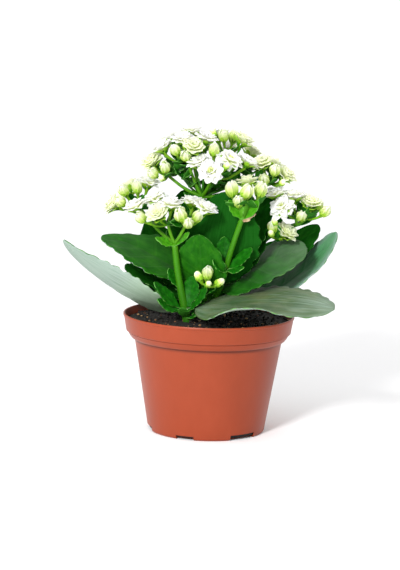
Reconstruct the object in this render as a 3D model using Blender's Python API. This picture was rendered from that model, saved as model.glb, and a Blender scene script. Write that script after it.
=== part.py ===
"""A potted kalanchoe with double white flowers, in a plastic nursery pot.

The pot stands on z = 0 with its axis on Z, and the viewer's side is -Y. Every size
and place below is in millimetres, and each mesh is brought to metres as it is made.
"""

import math
import random

import bmesh
import bpy
from mathutils import Matrix, Vector

# Driving sizes of the pot, in millimetres
RIM_RADIUS = 60.0
POT_HEIGHT = 82.4
BASE_RADIUS = 41.3
WALL = 1.0
FLOOR = 1.4
BAND_FOOT_Z = 65.4
BAND_LEDGE_Z = 70.2
SHOULDER_RADIUS = 51.9
LEDGE_RADIUS = 57.8
POT_SIDES = 32

# Drainage notches cut in the foot of the pot, small and large by turns, each as wide and high
NOTCH_COUNT = 6
NOTCH_FIRST = -21.0
NOTCH_SIZES = [(13.0, 2.8), (21.0, 3.8)]
NOTCH_DEEP = 7.0

# Soil
SOIL_Z = 78.0
SOIL_SIDES = 16
SOIL_LUMP = 0.7
HOLE_DEEP = 14.0

# The gap between pieces that touch
GAP = 0.3

# Stems: centre points and the radius at each
CROWN_X = -2.0
CROWN_Y = 2.0
CROWN_RADIUS = 5.0
MAIN_STEM = [(CROWN_X, CROWN_Y, SOIL_Z - HOLE_DEEP + GAP), (CROWN_X, CROWN_Y, 78), (CROWN_X, CROWN_Y, 102),
             (-2.5, 2.5, 122), (-4.5, 3, 145), (-7, 3, 164)]
MAIN_RADII = [CROWN_RADIUS, CROWN_RADIUS, 4.5, 3.0, 2.5, 2.3]
LEFT_STEM = [(-15, -13, SOIL_Z - HOLE_DEEP + GAP), (-15, -13, 78), (-17, -13, 88), (-22, -14, 111), (-25, -14, 133)]
LEFT_RADII = [3.2, 3.2, 3.0, 2.3, 2.1]

# Side shoots: the height and direction at which each leaves the main stem, then its points and radii
FRONT_SHOOT = (87.5, 318, [(5, -6, 97), (9, -14, 109), (14, -18, 130), (21.5, -19, 154)])
FRONT_RADII = [1.7, 2.0, 2.2, 2.1, 1.9, 1.8]
RIGHT_SHOOT = (95, 45, [(8, 15, 101), (23, 31, 116), (42, 31, 134), (52, 20, 141), (60, 8, 146)])
RIGHT_RADII = [1.6, 1.8, 1.9, 1.8, 1.7, 1.7, 1.6]
BUD_SHOOT = (86, 263, [(-3.5, -7.5, 92), (-3, -13.5, 99.5), (-2.5, -20.5, 105.5)])
BUD_RADII = [1.3, 1.4, 1.6, 1.5, 1.3]

STEM_SIDES = 8
STALK_SIDES = 6
TWIG_SIDES = 5
TWIG_RADIUS = 1.1
PEDICEL_RADIUS = 0.75
CALYX_RADIUS = 2.2

# Blooms: two layers of petals on one heart
PETALS = 6
BLOOM_RADIUS = 9.0
BLOOM_SEAT = 5.5
FLOWER_LIFT = 0.35
FLOWER_LEAN = 0.4

# Leaves
LEAF_THICK = 1.6
LEAF_ROWS = 12
LEAF_COLUMNS = 4
TOOTH = 0.07
PETIOLE_HALF = 2.0

SEED = 11


def material(name, colour, roughness):
    """A Principled material with one colour and roughness."""
    made = bpy.data.materials.new(name)
    made.use_nodes = True
    shader = made.node_tree.nodes["Principled BSDF"]
    shader.inputs["Base Color"].default_value = (*colour, 1.0)
    shader.inputs["Roughness"].default_value = roughness
    shader.inputs["Metallic"].default_value = 0.0
    made.diffuse_color = (*colour, 1.0)
    return made


def new_object(name, bm, finish):
    """Turns a bmesh in millimetres into an object in metres, with its faces outwards."""
    bmesh.ops.recalc_face_normals(bm, faces=bm.faces)
    mesh = bpy.data.meshes.new(name)
    bm.to_mesh(mesh)
    bm.free()
    mesh.transform(Matrix.Scale(0.001, 4))
    mesh.materials.append(finish)
    made = bpy.data.objects.new(name, mesh)
    bpy.context.scene.collection.objects.link(made)
    return made


def clear_scene():
    for old in list(bpy.data.objects):
        bpy.data.objects.remove(old, do_unlink=True)


# Fusing and cutting


def bake(target):
    """Applies an object's modifiers, welds the result and keeps it as triangles."""
    graph = bpy.context.evaluated_depsgraph_get()
    mesh = bpy.data.meshes.new_from_object(target.evaluated_get(graph))
    target.modifiers.clear()
    target.data = mesh
    bm = bmesh.new()
    bm.from_mesh(mesh)
    bmesh.ops.remove_doubles(bm, verts=bm.verts, dist=3e-6)
    bmesh.ops.dissolve_degenerate(bm, edges=bm.edges, dist=2e-6)
    bmesh.ops.triangulate(bm, faces=bm.faces)
    bm.to_mesh(mesh)
    bm.free()


def with_boolean(target, others, operation):
    """Applies one Boolean of a whole collection to the target, then removes the others."""
    helpers = bpy.data.collections.new(target.name + "_helpers")
    bpy.context.scene.collection.children.link(helpers)
    for other in others:
        bpy.context.scene.collection.objects.unlink(other)
        helpers.objects.link(other)
    modifier = target.modifiers.new(operation.title(), "BOOLEAN")
    modifier.operation = operation
    modifier.operand_type = "COLLECTION"
    modifier.collection = helpers
    modifier.solver = "EXACT"
    bake(target)
    for other in others:
        bpy.data.objects.remove(other, do_unlink=True)
    bpy.data.collections.remove(helpers)
    return target


def islands(bm):
    """The faces of a bmesh in groups that hang together, the largest group first."""
    bm.faces.index_update()
    seen = set()
    groups = []
    for first in bm.faces:
        if first.index in seen:
            continue
        seen.add(first.index)
        group = [first]
        for face in group:
            for edge in face.edges:
                for near in edge.link_faces:
                    if near.index not in seen:
                        seen.add(near.index)
                        group.append(near)
        groups.append(group)
    groups.sort(key=len, reverse=True)
    return groups


def keep_group(source, wanted):
    """A copy of the source's mesh with only the wanted island of faces, as a bmesh."""
    bm = bmesh.new()
    bm.from_mesh(source.data)
    groups = islands(bm)
    extra = [face for index, group in enumerate(groups) if index != wanted for face in group]
    bmesh.ops.delete(bm, geom=extra, context="FACES")
    loose = [vert for vert in bm.verts if not vert.link_faces]
    bmesh.ops.delete(bm, geom=loose, context="VERTS")
    return bm


def fused(pieces, name):
    """One solid from pieces that are sunk into each other: its outer skin alone, so no hollow is left."""
    target = pieces[0]
    target.name = name
    target.data.name = name
    with_boolean(target, pieces[1:], "UNION")
    bm = keep_group(target, 0)
    bm.to_mesh(target.data)
    bm.free()
    return target


# Basic solids


def limb(points, radii, sides):
    """A round closed limb through the points. A radius of 0 at an end closes it to a tip."""
    bm = bmesh.new()
    centres = [Vector(point) for point in points]
    side = (centres[1] - centres[0]).orthogonal().normalized()
    rings = []
    for index, centre in enumerate(centres):
        before = centres[max(index - 1, 0)]
        after = centres[min(index + 1, len(centres) - 1)]
        along = (after - before).normalized()
        side = (side - along * side.dot(along)).normalized()
        other = along.cross(side)
        if radii[index] == 0:
            rings.append([bm.verts.new(centre)])
            continue
        turns = [2 * math.pi * step / sides for step in range(sides)]
        ring = [centre + (side * math.cos(turn) + other * math.sin(turn)) * radii[index] for turn in turns]
        rings.append([bm.verts.new(corner) for corner in ring])
    for low, high in zip(rings, rings[1:]):
        for step in range(sides):
            following = (step + 1) % sides
            if len(high) == 1:
                bm.faces.new((low[step], low[following], high[0]))
            elif len(low) == 1:
                bm.faces.new((low[0], high[following], high[step]))
            else:
                bm.faces.new((low[step], low[following], high[following], high[step]))
    for ring in (rings[0], rings[-1]):
        if len(ring) > 1:
            bm.faces.new(ring)
    bmesh.ops.triangulate(bm, faces=bm.faces)
    return bm


def turned(profile, sides):
    """A profile of (radius, height) points that starts and ends on the axis, spun once round Z."""
    bm = bmesh.new()
    corners = [bm.verts.new((radius, 0, height)) for radius, height in profile]
    edges = [bm.edges.new(pair) for pair in zip(corners, corners[1:])]
    spun = corners + edges
    bmesh.ops.spin(bm, geom=spun, axis=(0, 0, 1), cent=(0, 0, 0), steps=sides, angle=2 * math.pi, use_merge=True)
    bmesh.ops.remove_doubles(bm, verts=bm.verts, dist=0.001)
    bmesh.ops.dissolve_degenerate(bm, edges=bm.edges, dist=0.001)
    return bm


# Pot and soil


def pot_outside():
    """The outer side, from the middle of the foot up to the top of the rim."""
    foot = [(0, 0), (BASE_RADIUS - 1.8, 0), (BASE_RADIUS - 0.5, 0.6), (BASE_RADIUS, 2.4)]
    body = [(SHOULDER_RADIUS, BAND_FOOT_Z), (SHOULDER_RADIUS + 1.1, BAND_FOOT_Z)]
    flare = [(SHOULDER_RADIUS + 2.4, BAND_FOOT_Z + 1.0), (LEDGE_RADIUS - 1.6, BAND_FOOT_Z + 3.0)]
    ledge = [(LEDGE_RADIUS - 0.4, BAND_LEDGE_Z), (LEDGE_RADIUS, BAND_LEDGE_Z + 0.4)]
    lip_foot = POT_HEIGHT - 1.9
    lip = [(RIM_RADIUS - 0.5, lip_foot), (RIM_RADIUS, lip_foot + 0.4), (RIM_RADIUS, POT_HEIGHT - 0.3),
           (RIM_RADIUS - 0.3, POT_HEIGHT)]
    return foot + body + flare + ledge + lip


def pot_inside():
    """The inner side, from the top of the rim down to the edge of the floor."""
    return [
        (RIM_RADIUS - WALL, POT_HEIGHT),
        (RIM_RADIUS - WALL - 0.3, POT_HEIGHT - 0.3),
        (LEDGE_RADIUS - WALL, BAND_LEDGE_Z + 0.2),
        (LEDGE_RADIUS - 2.2 - WALL, BAND_FOOT_Z + 3.4),
        (SHOULDER_RADIUS - WALL, BAND_FOOT_Z - 0.5),
        (BASE_RADIUS - WALL + 0.1, FLOOR),
    ]


def inside_radius(height):
    """The pot's inner radius at a height."""
    points = pot_inside()
    for (upper, top), (lower, bottom) in zip(points, points[1:]):
        if bottom <= height <= top:
            return lower + (upper - lower) * (height - bottom) / (top - bottom)
    return BASE_RADIUS - WALL


def notch_cutter(turn, wide, high):
    """A block across the pot's foot. Turn 0 faces the viewer."""
    bm = bmesh.new()
    bmesh.ops.create_cube(bm, size=1.0)
    bmesh.ops.scale(bm, vec=(wide, NOTCH_DEEP, 2 * high), verts=bm.verts)
    bmesh.ops.translate(bm, vec=(0, -(BASE_RADIUS + 1.0 - NOTCH_DEEP / 2), 0), verts=bm.verts)
    bmesh.ops.rotate(bm, cent=(0, 0, 0), matrix=Matrix.Rotation(turn, 3, "Z"), verts=bm.verts)
    return bm


def make_pot(finish):
    profile = pot_outside() + pot_inside() + [(0, FLOOR)]
    pot = new_object("pot", turned(profile, POT_SIDES), finish)
    cutters = []
    for index in range(NOTCH_COUNT):
        turn = math.radians(NOTCH_FIRST + index * 360 / NOTCH_COUNT)
        wide, high = NOTCH_SIZES[index % len(NOTCH_SIZES)]
        cutters.append(new_object(f"notch_{index}", notch_cutter(turn, wide, high), finish))
    with_boolean(pot, cutters, "DIFFERENCE")
    return pot


def make_soil(finish, holes):
    """The root ball, with a low mound on top and a plain hole for each stem."""
    chance = random.Random(SEED)
    edge_z = SOIL_Z - 0.8
    wall = [(radius - GAP, height) for radius, height in reversed(pot_inside()) if height < edge_z]
    wall[0] = (wall[0][0], FLOOR + GAP)
    top = [(inside_radius(edge_z) - GAP, edge_z), (44, SOIL_Z + 0.2), (22, SOIL_Z + 0.4), (0, SOIL_Z + 0.6)]
    bm = turned([(0, FLOOR + GAP)] + wall + top, SOIL_SIDES)
    for vert in bm.verts:
        if vert.co.z > SOIL_Z:
            vert.co.z += chance.uniform(-SOIL_LUMP, SOIL_LUMP)
    bmesh.ops.triangulate(bm, faces=bm.faces)
    soil = new_object("soil", bm, finish)
    cutters = []
    for points, radii, sides in holes:
        foot = Vector(points[0]) - Vector((0, 0, GAP))
        mouth = foot + Vector((0, 0, HOLE_DEEP + 8))
        wide = radii[0] + GAP + 0.05
        cutters.append(new_object("hole", limb([foot, mouth], [wide, wide], sides), finish))
    with_boolean(soil, cutters, "DIFFERENCE")
    return soil


# Leaves


def blade_half(along, wide, petiole, blunt):
    """Half the width of a leaf at a share of its length: a thin petiole, then an egg-shaped blade."""
    share = min(max((along - petiole) / (1 - petiole), 0.0), 1.0)
    swell = math.sin(math.pi * share**0.92) ** blunt if 0 < share < 1 else 0.0
    return max(wide / 2 * swell, PETIOLE_HALF * (1 - share)), swell


def leaf_point(leaf, root, along, across):
    """A point of a leaf's middle surface. Along runs from root to tip, across from -1 to 1."""
    turn = math.radians(leaf["turn"])
    rise = math.radians(leaf["rise"])
    bend = math.radians(leaf["end_rise"]) - rise
    if abs(bend) < 1e-4:
        bend = 1e-4
    slope = rise + bend * along
    out = leaf["long"] * (math.sin(slope) - math.sin(rise)) / bend
    up = -leaf["long"] * (math.cos(slope) - math.cos(rise)) / bend
    middle = Vector(root) + Vector((out * math.cos(turn), out * math.sin(turn), up))
    petiole = leaf.get("petiole", 0.10)
    half, swell = blade_half(along, leaf["wide"], petiole, leaf.get("blunt", 0.6))
    roll = math.radians(leaf["roll"]) * min(along / petiole, 1.0)
    flat = Vector((-math.sin(turn), math.cos(turn), 0))
    face = Vector((-math.sin(slope) * math.cos(turn), -math.sin(slope) * math.sin(turn), math.cos(slope)))
    sideways = flat * math.cos(roll) + face * math.sin(roll)
    upwards = face * math.cos(roll) - flat * math.sin(roll)
    curl = leaf["cup"] / 1000 if abs(leaf["cup"]) > 0.01 else 1e-5
    reach = across * half
    wave = leaf["wave_left"] if across > 0 else leaf["wave_right"]
    lift = wave * across**2 * swell * math.cos(2 * math.pi * (along - leaf["wave_at"]))
    return middle + sideways * (math.sin(curl * reach) / curl) + upwards * ((1 - math.cos(curl * reach)) / curl + lift)


def blade(leaf, root, rows, columns, toothed=True):
    """The leaf's middle surface as a triangulated grid, with a blunt tooth at every second row."""
    bm = bmesh.new()
    bmesh.ops.create_grid(bm, x_segments=rows, y_segments=columns, size=1.0)
    for vert in bm.verts:
        along = (vert.co.x + 1) / 2
        across = vert.co.y
        row = round(along * rows)
        if toothed and abs(across) > 0.99 and along > 0.25 and row % 2:
            across *= 1 - TOOTH
        vert.co = leaf_point(leaf, root, along, across)
    bmesh.ops.remove_doubles(bm, verts=bm.verts, dist=0.05)
    bmesh.ops.triangulate(bm, faces=bm.faces, quad_method="BEAUTY")
    return bm


def make_leaf(name, leaf, root, finish, rows=LEAF_ROWS, columns=LEAF_COLUMNS, thick=LEAF_THICK):
    """A leaf of even thickness round its middle surface."""
    made = new_object(name, blade(leaf, root, rows, columns), finish)
    solidify = made.modifiers.new("Thickness", "SOLIDIFY")
    solidify.thickness = thick / 1000
    solidify.offset = 0.0
    bake(made)
    return made


def stem_at(points, radii, height):
    """The centre and radius of a stem at a height."""
    for (low, high), (low_radius, high_radius) in zip(zip(points, points[1:]), zip(radii, radii[1:])):
        if low[2] <= height <= high[2]:
            share = (height - low[2]) / (high[2] - low[2])
            return Vector(low).lerp(Vector(high), share), low_radius + (high_radius - low_radius) * share
    raise ValueError(f"no stem at {height}")


def side_shoot(shoot, foot_radius):
    """The points of a side shoot: out of the main stem's skin, one gap clear of it, then along its own way."""
    height, turn, points = shoot
    centre, radius = stem_at(MAIN_STEM, MAIN_RADII, height)
    outwards = Vector((math.cos(math.radians(turn)), math.sin(math.radians(turn)), 0))
    start = centre + outwards * (radius + GAP + 0.72 * foot_radius)
    return [start, start + outwards * 1.8 + Vector((0, 0, 1.8))] + points


def leaf_root(leaf):
    """Where a leaf's petiole meets its stem, one gap clear of the stem's skin."""
    points, radii = (LEFT_STEM, LEFT_RADII) if leaf.get("on_left_stem") else (MAIN_STEM, MAIN_RADII)
    centre, radius = stem_at(points, radii, leaf["z"])
    turn = math.radians(leaf["turn"])
    clear = radius + GAP + LEAF_THICK / 2 * math.sin(math.radians(leaf["rise"]))
    return centre + Vector((math.cos(turn), math.sin(turn), 0)) * clear


def large(z, turn, rise, end_rise, long, wide, roll, cup, wave_left=0.0, wave_right=0.0, wave_at=0.5, **more):
    """A large leaf. Turn is its direction from above in degrees: 0 right, 90 back, 180 left, 270 front."""
    leaf = dict(z=z, turn=turn, rise=rise, end_rise=end_rise, long=long, wide=wide, roll=roll, cup=cup)
    leaf.update(wave_left=wave_left, wave_right=wave_right, wave_at=wave_at, **more)
    return leaf


LARGE_LEAVES = {
    "leaf_left_low": large(83.0, 185, 3, 52, 111, 50, 24, 18, -1, -4, 0.2, blunt=0.8),
    "leaf_left_dark": large(88.7, 151, 16, 24, 65, 43, 1, 3, 2, 0, 0.6),
    "leaf_left_high": large(98.5, 160, 39, 8, 83, 55, -12, 6, -2, 3, 0.4),
    "leaf_left_back": large(91, 126, 15, 60, 86, 42, 0, 3),
    "leaf_front_upright": large(91.7, 256, 62, 74, 53, 38, -8, 2),
    "leaf_middle_upright": large(98.5, 312, 72, 86, 73, 55, -55, 3),
    "leaf_right_behind": large(103, 25, 53, 60, 76, 42, 14, 3),
    "leaf_right_wide": large(96, 357, 40, 16, 73, 60, 22, 2, -4, 1, 0.6),
    "leaf_right_cupped": large(85.5, 13, 2, 61, 108, 56, 5, 12, -3, 0, 0.6),
    "leaf_right_front": large(88, 332, 15, -4, 111, 66, 12, 0, 0, 8, 0.55, petiole=0.055, on_left_stem=True),
    "leaf_right_back": large(90, 31, 26, 35, 101, 56, 2, 3),
    "leaf_right_inner": large(99.5, 14, 46, 54, 57, 36, 20, 3),
    "leaf_back_left": large(84, 125, 4, 40, 95, 43, 0, 8),
    "leaf_back_right": large(84, 68, 8, 44, 90, 41, 0, 8),
    "leaf_back_upright": large(99, 118, 56, 72, 74, 40, 0, 4),
}


# Sprays: forks, twigs, flowers and buds

# kind: radius of the open flower or bud
SIZES = {"bloom": 1.0, "half": 0.62, "bud": 3.1, "big_bud": 4.2, "small_bud": 2.2}

CENTRAL_FORKS = {"a": (-18, 2, 189), "b": (0, -7, 179), "c": (9, 12, 193), "d": (41, 8, 174), "k": (-31, 6, 178),
                 "back": (-14, 28, 186), "far": (16, 30, 183)}
CENTRAL_FLOWERS = [
    ("a", "bloom", (-36, 0, 199)), ("a", "bloom", (-21, -4, 205)), ("a", "bloom", (-5, -2, 206)),
    ("a", "bloom", (-16, 12, 209)), ("a", "bloom", (-31, 15, 203)), ("a", "bud", (-26, -9, 197)),
    ("a", "half", (-14, -10, 200)), ("a", "bud", (-19, -10, 193)),
    ("b", "bloom", (-10, -13, 190)), ("b", "bloom", (-1.5, -22, 185)), ("b", "bloom", (12, -12, 193)),
    ("b", "bloom", (24, -4, 191)), ("b", "bud", (0.5, -11, 197)), ("b", "small_bud", (9, -20, 188)),
    ("c", "bud", (7, 6, 206)), ("c", "bloom", (21, 12, 204)), ("c", "bud", (14, 20, 204)),
    ("c", "small_bud", (0, 8, 208)), ("c", "bloom", (3, 22, 207)),
    ("d", "bloom", (34, 2, 189)), ("d", "bud", (43, -3, 184)), ("d", "half", (51, 4, 181)),
    ("d", "bloom", (41, 18, 186)), ("d", "bud", (36, -4, 178)), ("d", "small_bud", (48, -4, 176)),
    ("k", "half", (-43, 1, 188)), ("k", "bud", (-33, -5, 184)), ("k", "bloom", (-42, 16, 188)),
    ("k", "bud", (-41, -5, 180)), ("k", "small_bud", (-35, -5, 177)),
    ("back", "bloom", (-22, 36, 200)), ("back", "bloom", (-6, 40, 198)), ("back", "bud", (-16, 42, 192)),
    ("far", "bloom", (12, 40, 196)), ("far", "bloom", (27, 34, 194)), ("far", "bud", (22, 44, 186)),
]
LEFT_FORKS = {"near": (-30, -15, 146), "side": (-18, -17, 146), "outer": (-50, 3, 155)}
LEFT_FLOWERS = [
    ("near", "bloom", (-53, -17, 159)), ("near", "bloom", (-40, -13, 165)), ("near", "bloom", (-28, -22, 162)),
    ("near", "half", (-37, -27, 155)), ("near", "bud", (-48, -23, 151)),
    ("side", "bloom", (-13, -15, 163)), ("side", "bloom", (-4, -25, 160)), ("side", "big_bud", (-21, -28, 154)),
    ("side", "bud", (-10, -25, 153)), ("side", "bud", (-16, -28, 149)),
    ("outer", "bloom", (-45, 3, 174)), ("outer", "half", (-69, 0, 158)), ("outer", "bud", (-52, -1, 169)),
    ("outer", "bud", (-61, -3, 167)), ("outer", "bud", (-63, -8, 160)), ("outer", "bloom", (-58, 17, 168)),
]
FRONT_FORKS = {"left": (18, -19, 160), "right": (27, -18, 160)}
FRONT_FLOWERS = [
    ("left", "big_bud", (13.5, -19, 171)), ("left", "big_bud", (23, -24, 170.5)), ("left", "bud", (18, -25, 164)),
    ("right", "big_bud", (33, -18, 171)), ("right", "half", (24, -11, 177)),
]
RIGHT_FORKS = {"g": (59, 5, 150), "h": (46, 6, 136), "outer": (66, 7, 150)}
RIGHT_FLOWERS = [
    ("g", "bloom", (48, -6, 160)), ("g", "bloom", (44, 6, 168)), ("g", "bloom", (57, 3, 167)),
    ("g", "bud", (62, -4, 153)), ("g", "bloom", (58, 20, 164)),
    ("outer", "bloom", (69, 2, 162)), ("outer", "bud", (78.5, 0, 156)), ("outer", "bud", (74, 13, 158)),
    ("h", "half", (53, 2, 141)), ("h", "bud", (43, 0, 144)), ("h", "small_bud", (42, -2, 140)),
    ("h", "small_bud", (44, -2.5, 148)),
]
BUD_FORKS = {}
BUD_FLOWERS = [
    ("end", "bud", (-2, -22, 113)), ("end", "small_bud", (-7.5, -21, 111)), ("end", "small_bud", (6, -22, 107.5)),
    ("end", "small_bud", (-1, -26, 107)),
]


def small(root, turn, rise, long, wide, end_rise=None, roll=0.0, cup=12.0):
    """A small leaf or bract on a shoot, from a root point sunk in the stem."""
    leaf = dict(root=root, turn=turn, rise=rise, end_rise=rise + 15 if end_rise is None else end_rise)
    leaf.update(long=long, wide=wide, roll=roll, cup=cup, wave_left=0.0, wave_right=0.0, wave_at=0.5, petiole=0.12)
    return leaf


LEFT_SMALL = [
    small((-17, -13, 88), 212, 38, 25, 13), small((-17, -13, 88), 290, 62, 22, 15), small((-20, -13.5, 101), 160, 50, 17, 10),
    small((-25, -14, 132), 200, 5, 15, 7), small((-25, -14, 132), 340, 25, 15, 7),
]
FRONT_SMALL = [
    small((8.5, -13, 108), 262, 82, 30, 15), small((9.5, -14.5, 112), 335, 45, 26, 14), small((8.5, -14.5, 109), 238, 64, 24, 12),
    small((21.5, -19, 153), 190, 55, 12, 5), small((21.5, -19, 153), 350, 40, 14, 5),
]
RIGHT_SMALL = [small((59, 9, 145), 20, 20, 18, 7), small((47, 23, 137.5), 80, 50, 14, 7)]
MAIN_SMALL = [small((-6.5, 3, 160), 200, 20, 16, 6), small((-6.5, 3, 160), 20, 15, 18, 7)]
BUD_SMALL = [small((-3, -17, 99), 345, 30, 10, 6)]


def flower_axis(fork, place):
    """The way a flower faces: away from its fork, turned up a little, and outwards on the viewer's side."""
    outwards = Vector((0, -FLOWER_LEAN, FLOWER_LIFT)) if place.y < 10 else Vector((0, 0, FLOWER_LIFT))
    return ((place - fork).normalized() + outwards).normalized()


def pedicel_route(fork, seat, axis):
    """Three points from the fork to just under the seat, ending along the flower's axis."""
    reach = (seat - fork).length
    middle = fork.lerp(seat - axis * reach * 0.45, 0.6)
    return [fork, middle, seat - axis * 1.8]


def flower_stalk(fork, place, axis):
    """The pedicel and the flared calyx under an open flower."""
    seat = place - axis * (BLOOM_SEAT + GAP)
    points = pedicel_route(fork, seat, axis) + [seat]
    return limb(points, [PEDICEL_RADIUS, PEDICEL_RADIUS, PEDICEL_RADIUS + 0.2, CALYX_RADIUS], TWIG_SIDES)


def bud_stalk(fork, place, axis, radius):
    """The pedicel with a closed bud on its end: calyx, belly, shoulder and tip."""
    seat = place - axis * radius * 1.2
    points = pedicel_route(fork, seat, axis)
    points += [seat + axis * radius * share for share in (0.5, 1.5, 2.4)]
    radii = [PEDICEL_RADIUS, PEDICEL_RADIUS, PEDICEL_RADIUS + 0.2, radius * 0.95, radius * 0.8, 0]
    return limb(points, radii, TWIG_SIDES)


def bloom_bm(place, axis, spread, spin):
    """A double flower: two layers of petals round one heart, on a flat seat."""
    outer_tip = BLOOM_RADIUS * spread
    outer_cleft = 5.4 * spread
    inner_tip = 6.2 * spread
    inner_cleft = 3.6 * spread
    high = 1.0 + (1.0 - spread) * 1.2
    # each ring: tip radius, tip height, cleft radius, cleft height, share of a petal that it is turned by
    rings = [
        (1.8, 0.0, 1.8, 0.0, 0.0),
        (outer_tip, 4.6 * high, outer_cleft, 3.6 * high, 0.0),
        (outer_tip, 5.5 * high, outer_cleft, 4.6 * high, 0.0),
        (inner_tip, 8.0 * high, inner_cleft, 7.0 * high, 0.5),
        (inner_tip * 0.95, 8.9 * high, inner_cleft * 0.9, 7.8 * high, 0.5),
    ]
    bm = bmesh.new()
    made = []
    for tip, tip_z, cleft, cleft_z, shift in rings:
        ring = []
        for step in range(2 * PETALS):
            turn = math.pi * (step + 2 * shift) / PETALS + spin
            reach, height = (tip, tip_z) if step % 2 == 0 else (cleft, cleft_z)
            ring.append(bm.verts.new((reach * math.cos(turn), reach * math.sin(turn), height)))
        made.append(ring)
    for index, (low, high_ring) in enumerate(zip(made, made[1:])):
        offset = 1 if index == 2 else 0
        for step in range(2 * PETALS):
            following = (step + 1) % (2 * PETALS)
            above = high_ring[(step - offset) % (2 * PETALS)]
            above_following = high_ring[(following - offset) % (2 * PETALS)]
            bm.faces.new((low[step], low[following], above_following, above))
    heart = bm.verts.new((0, 0, 7.2 * high))
    for step in range(2 * PETALS):
        bm.faces.new((made[-1][step], made[-1][(step + 1) % (2 * PETALS)], heart))
    bm.faces.new(made[0])
    bmesh.ops.triangulate(bm, faces=bm.faces)
    turn_to_axis = axis.to_track_quat("Z", "Y").to_matrix().to_4x4()
    bm.transform(Matrix.Translation(place - axis * BLOOM_SEAT) @ turn_to_axis)
    return bm


def make_spray(name, stem, radii, sides, forks, flowers, leaves, green, chance):
    """A green shoot with its twigs, bracts, pedicels and buds, and the white flowers it carries."""
    pieces = [new_object(name, limb(stem, radii, sides), green)]
    for fork in forks.values():
        start = branch_start(stem, fork)
        bend = start.lerp(Vector(fork), 0.5) - Vector((0, 0, (Vector(fork) - start).length * 0.06))
        route = [start, bend, Vector(fork)]
        pieces.append(new_object("twig", limb(route, [TWIG_RADIUS * 1.2, TWIG_RADIUS, TWIG_RADIUS], TWIG_SIDES), green))
    blooms = []
    for fork_name, kind, place in flowers:
        fork = Vector(forks.get(fork_name, stem[-1]))
        place = Vector(place)
        axis = flower_axis(fork, place)
        if kind in ("bloom", "half"):
            pieces.append(new_object("pedicel", flower_stalk(fork, place, axis), green))
            spin = chance.uniform(0, math.pi)
            blooms.append((place, axis, SIZES[kind], spin))
        else:
            pieces.append(new_object("bud", bud_stalk(fork, place, axis, SIZES[kind]), green))
    for leaf in leaves:
        pieces.append(make_leaf("small_leaf", leaf, leaf["root"], green, rows=4, columns=2, thick=1.0))
    fused(pieces, name)
    return blooms


def branch_start(stem, fork):
    """Where a twig leaves its stem: the stem's end, or the point under a side branch that starts lower."""
    near = min(stem, key=lambda point: (Vector(point) - Vector(fork)).length)
    return Vector(near)


def make_heads(name, blooms, white):
    """Flowers that touch grow into one head, and one that stands clear is a head by itself."""
    pieces = [new_object("flower", bloom_bm(*bloom), white) for bloom in blooms]
    whole = with_boolean(pieces[0], pieces[1:], "UNION") if len(pieces) > 1 else pieces[0]
    bm = bmesh.new()
    bm.from_mesh(whole.data)
    count = len(islands(bm))
    bm.free()
    for index in range(count):
        part = keep_group(whole, index)
        mesh = bpy.data.meshes.new(f"{name}_{index + 1}")
        part.to_mesh(mesh)
        part.free()
        mesh.materials.append(white)
        head = bpy.data.objects.new(f"{name}_{index + 1}", mesh)
        bpy.context.scene.collection.objects.link(head)
    bpy.data.objects.remove(whole, do_unlink=True)


def main():
    clear_scene()
    terracotta = material("terracotta_plastic", (0.55, 0.13, 0.06), 0.45)
    peat = material("peat", (0.02, 0.012, 0.008), 0.95)
    stem_green = material("stem_green", (0.08, 0.32, 0.02), 0.5)
    leaf_green = material("leaf_green", (0.02, 0.12, 0.02), 0.5)
    petal_white = material("petal_white", (0.85, 0.84, 0.80), 0.6)
    chance = random.Random(SEED)
    make_pot(terracotta)
    make_soil(peat, [(MAIN_STEM, MAIN_RADII, STEM_SIDES), (LEFT_STEM, LEFT_RADII, STALK_SIDES)])
    for name, leaf in LARGE_LEAVES.items():
        make_leaf(name, leaf, leaf_root(leaf), leaf_green)
    shoots = {
        "main_stem": (MAIN_STEM, MAIN_RADII, STEM_SIDES, CENTRAL_FORKS, CENTRAL_FLOWERS, MAIN_SMALL),
        "left_shoot": (LEFT_STEM, LEFT_RADII, STALK_SIDES, LEFT_FORKS, LEFT_FLOWERS, LEFT_SMALL),
        "front_shoot": (side_shoot(FRONT_SHOOT, FRONT_RADII[0]), FRONT_RADII, STALK_SIDES, FRONT_FORKS, FRONT_FLOWERS, FRONT_SMALL),
        "right_shoot": (side_shoot(RIGHT_SHOOT, RIGHT_RADII[0]), RIGHT_RADII, STALK_SIDES, RIGHT_FORKS, RIGHT_FLOWERS, RIGHT_SMALL),
        "bud_shoot": (side_shoot(BUD_SHOOT, BUD_RADII[0]), BUD_RADII, STALK_SIDES, BUD_FORKS, BUD_FLOWERS, BUD_SMALL),
    }
    for name, shoot in shoots.items():
        blooms = make_spray(name, *shoot, stem_green, chance)
        if blooms:
            make_heads(name.replace("shoot", "blooms").replace("main_stem", "middle_blooms"), blooms, petal_white)


main()
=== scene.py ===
# %% [markdown]
# A potted kalanchoe: a small succulent houseplant with broad scalloped leaves and
# dense sprays of double white flowers, in a terracotta-coloured plastic nursery pot.
# The plant and pot were modelled first as plain solids. This script dresses them:
# each solid is replaced by a finer piece of the same form, in the same place.
# Sizes are in millimetres here, and each mesh is brought to metres as it is finished.

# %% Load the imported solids
import math
import random

import bmesh
import bpy
from mathutils import Matrix, Vector


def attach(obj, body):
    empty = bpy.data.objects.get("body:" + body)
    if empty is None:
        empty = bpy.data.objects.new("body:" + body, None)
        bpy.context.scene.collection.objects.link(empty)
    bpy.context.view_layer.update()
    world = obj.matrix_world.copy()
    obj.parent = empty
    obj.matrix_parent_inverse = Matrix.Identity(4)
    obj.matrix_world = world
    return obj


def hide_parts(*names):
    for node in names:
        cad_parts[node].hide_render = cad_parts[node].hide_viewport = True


MM = 0.001
SEED = 23

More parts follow.
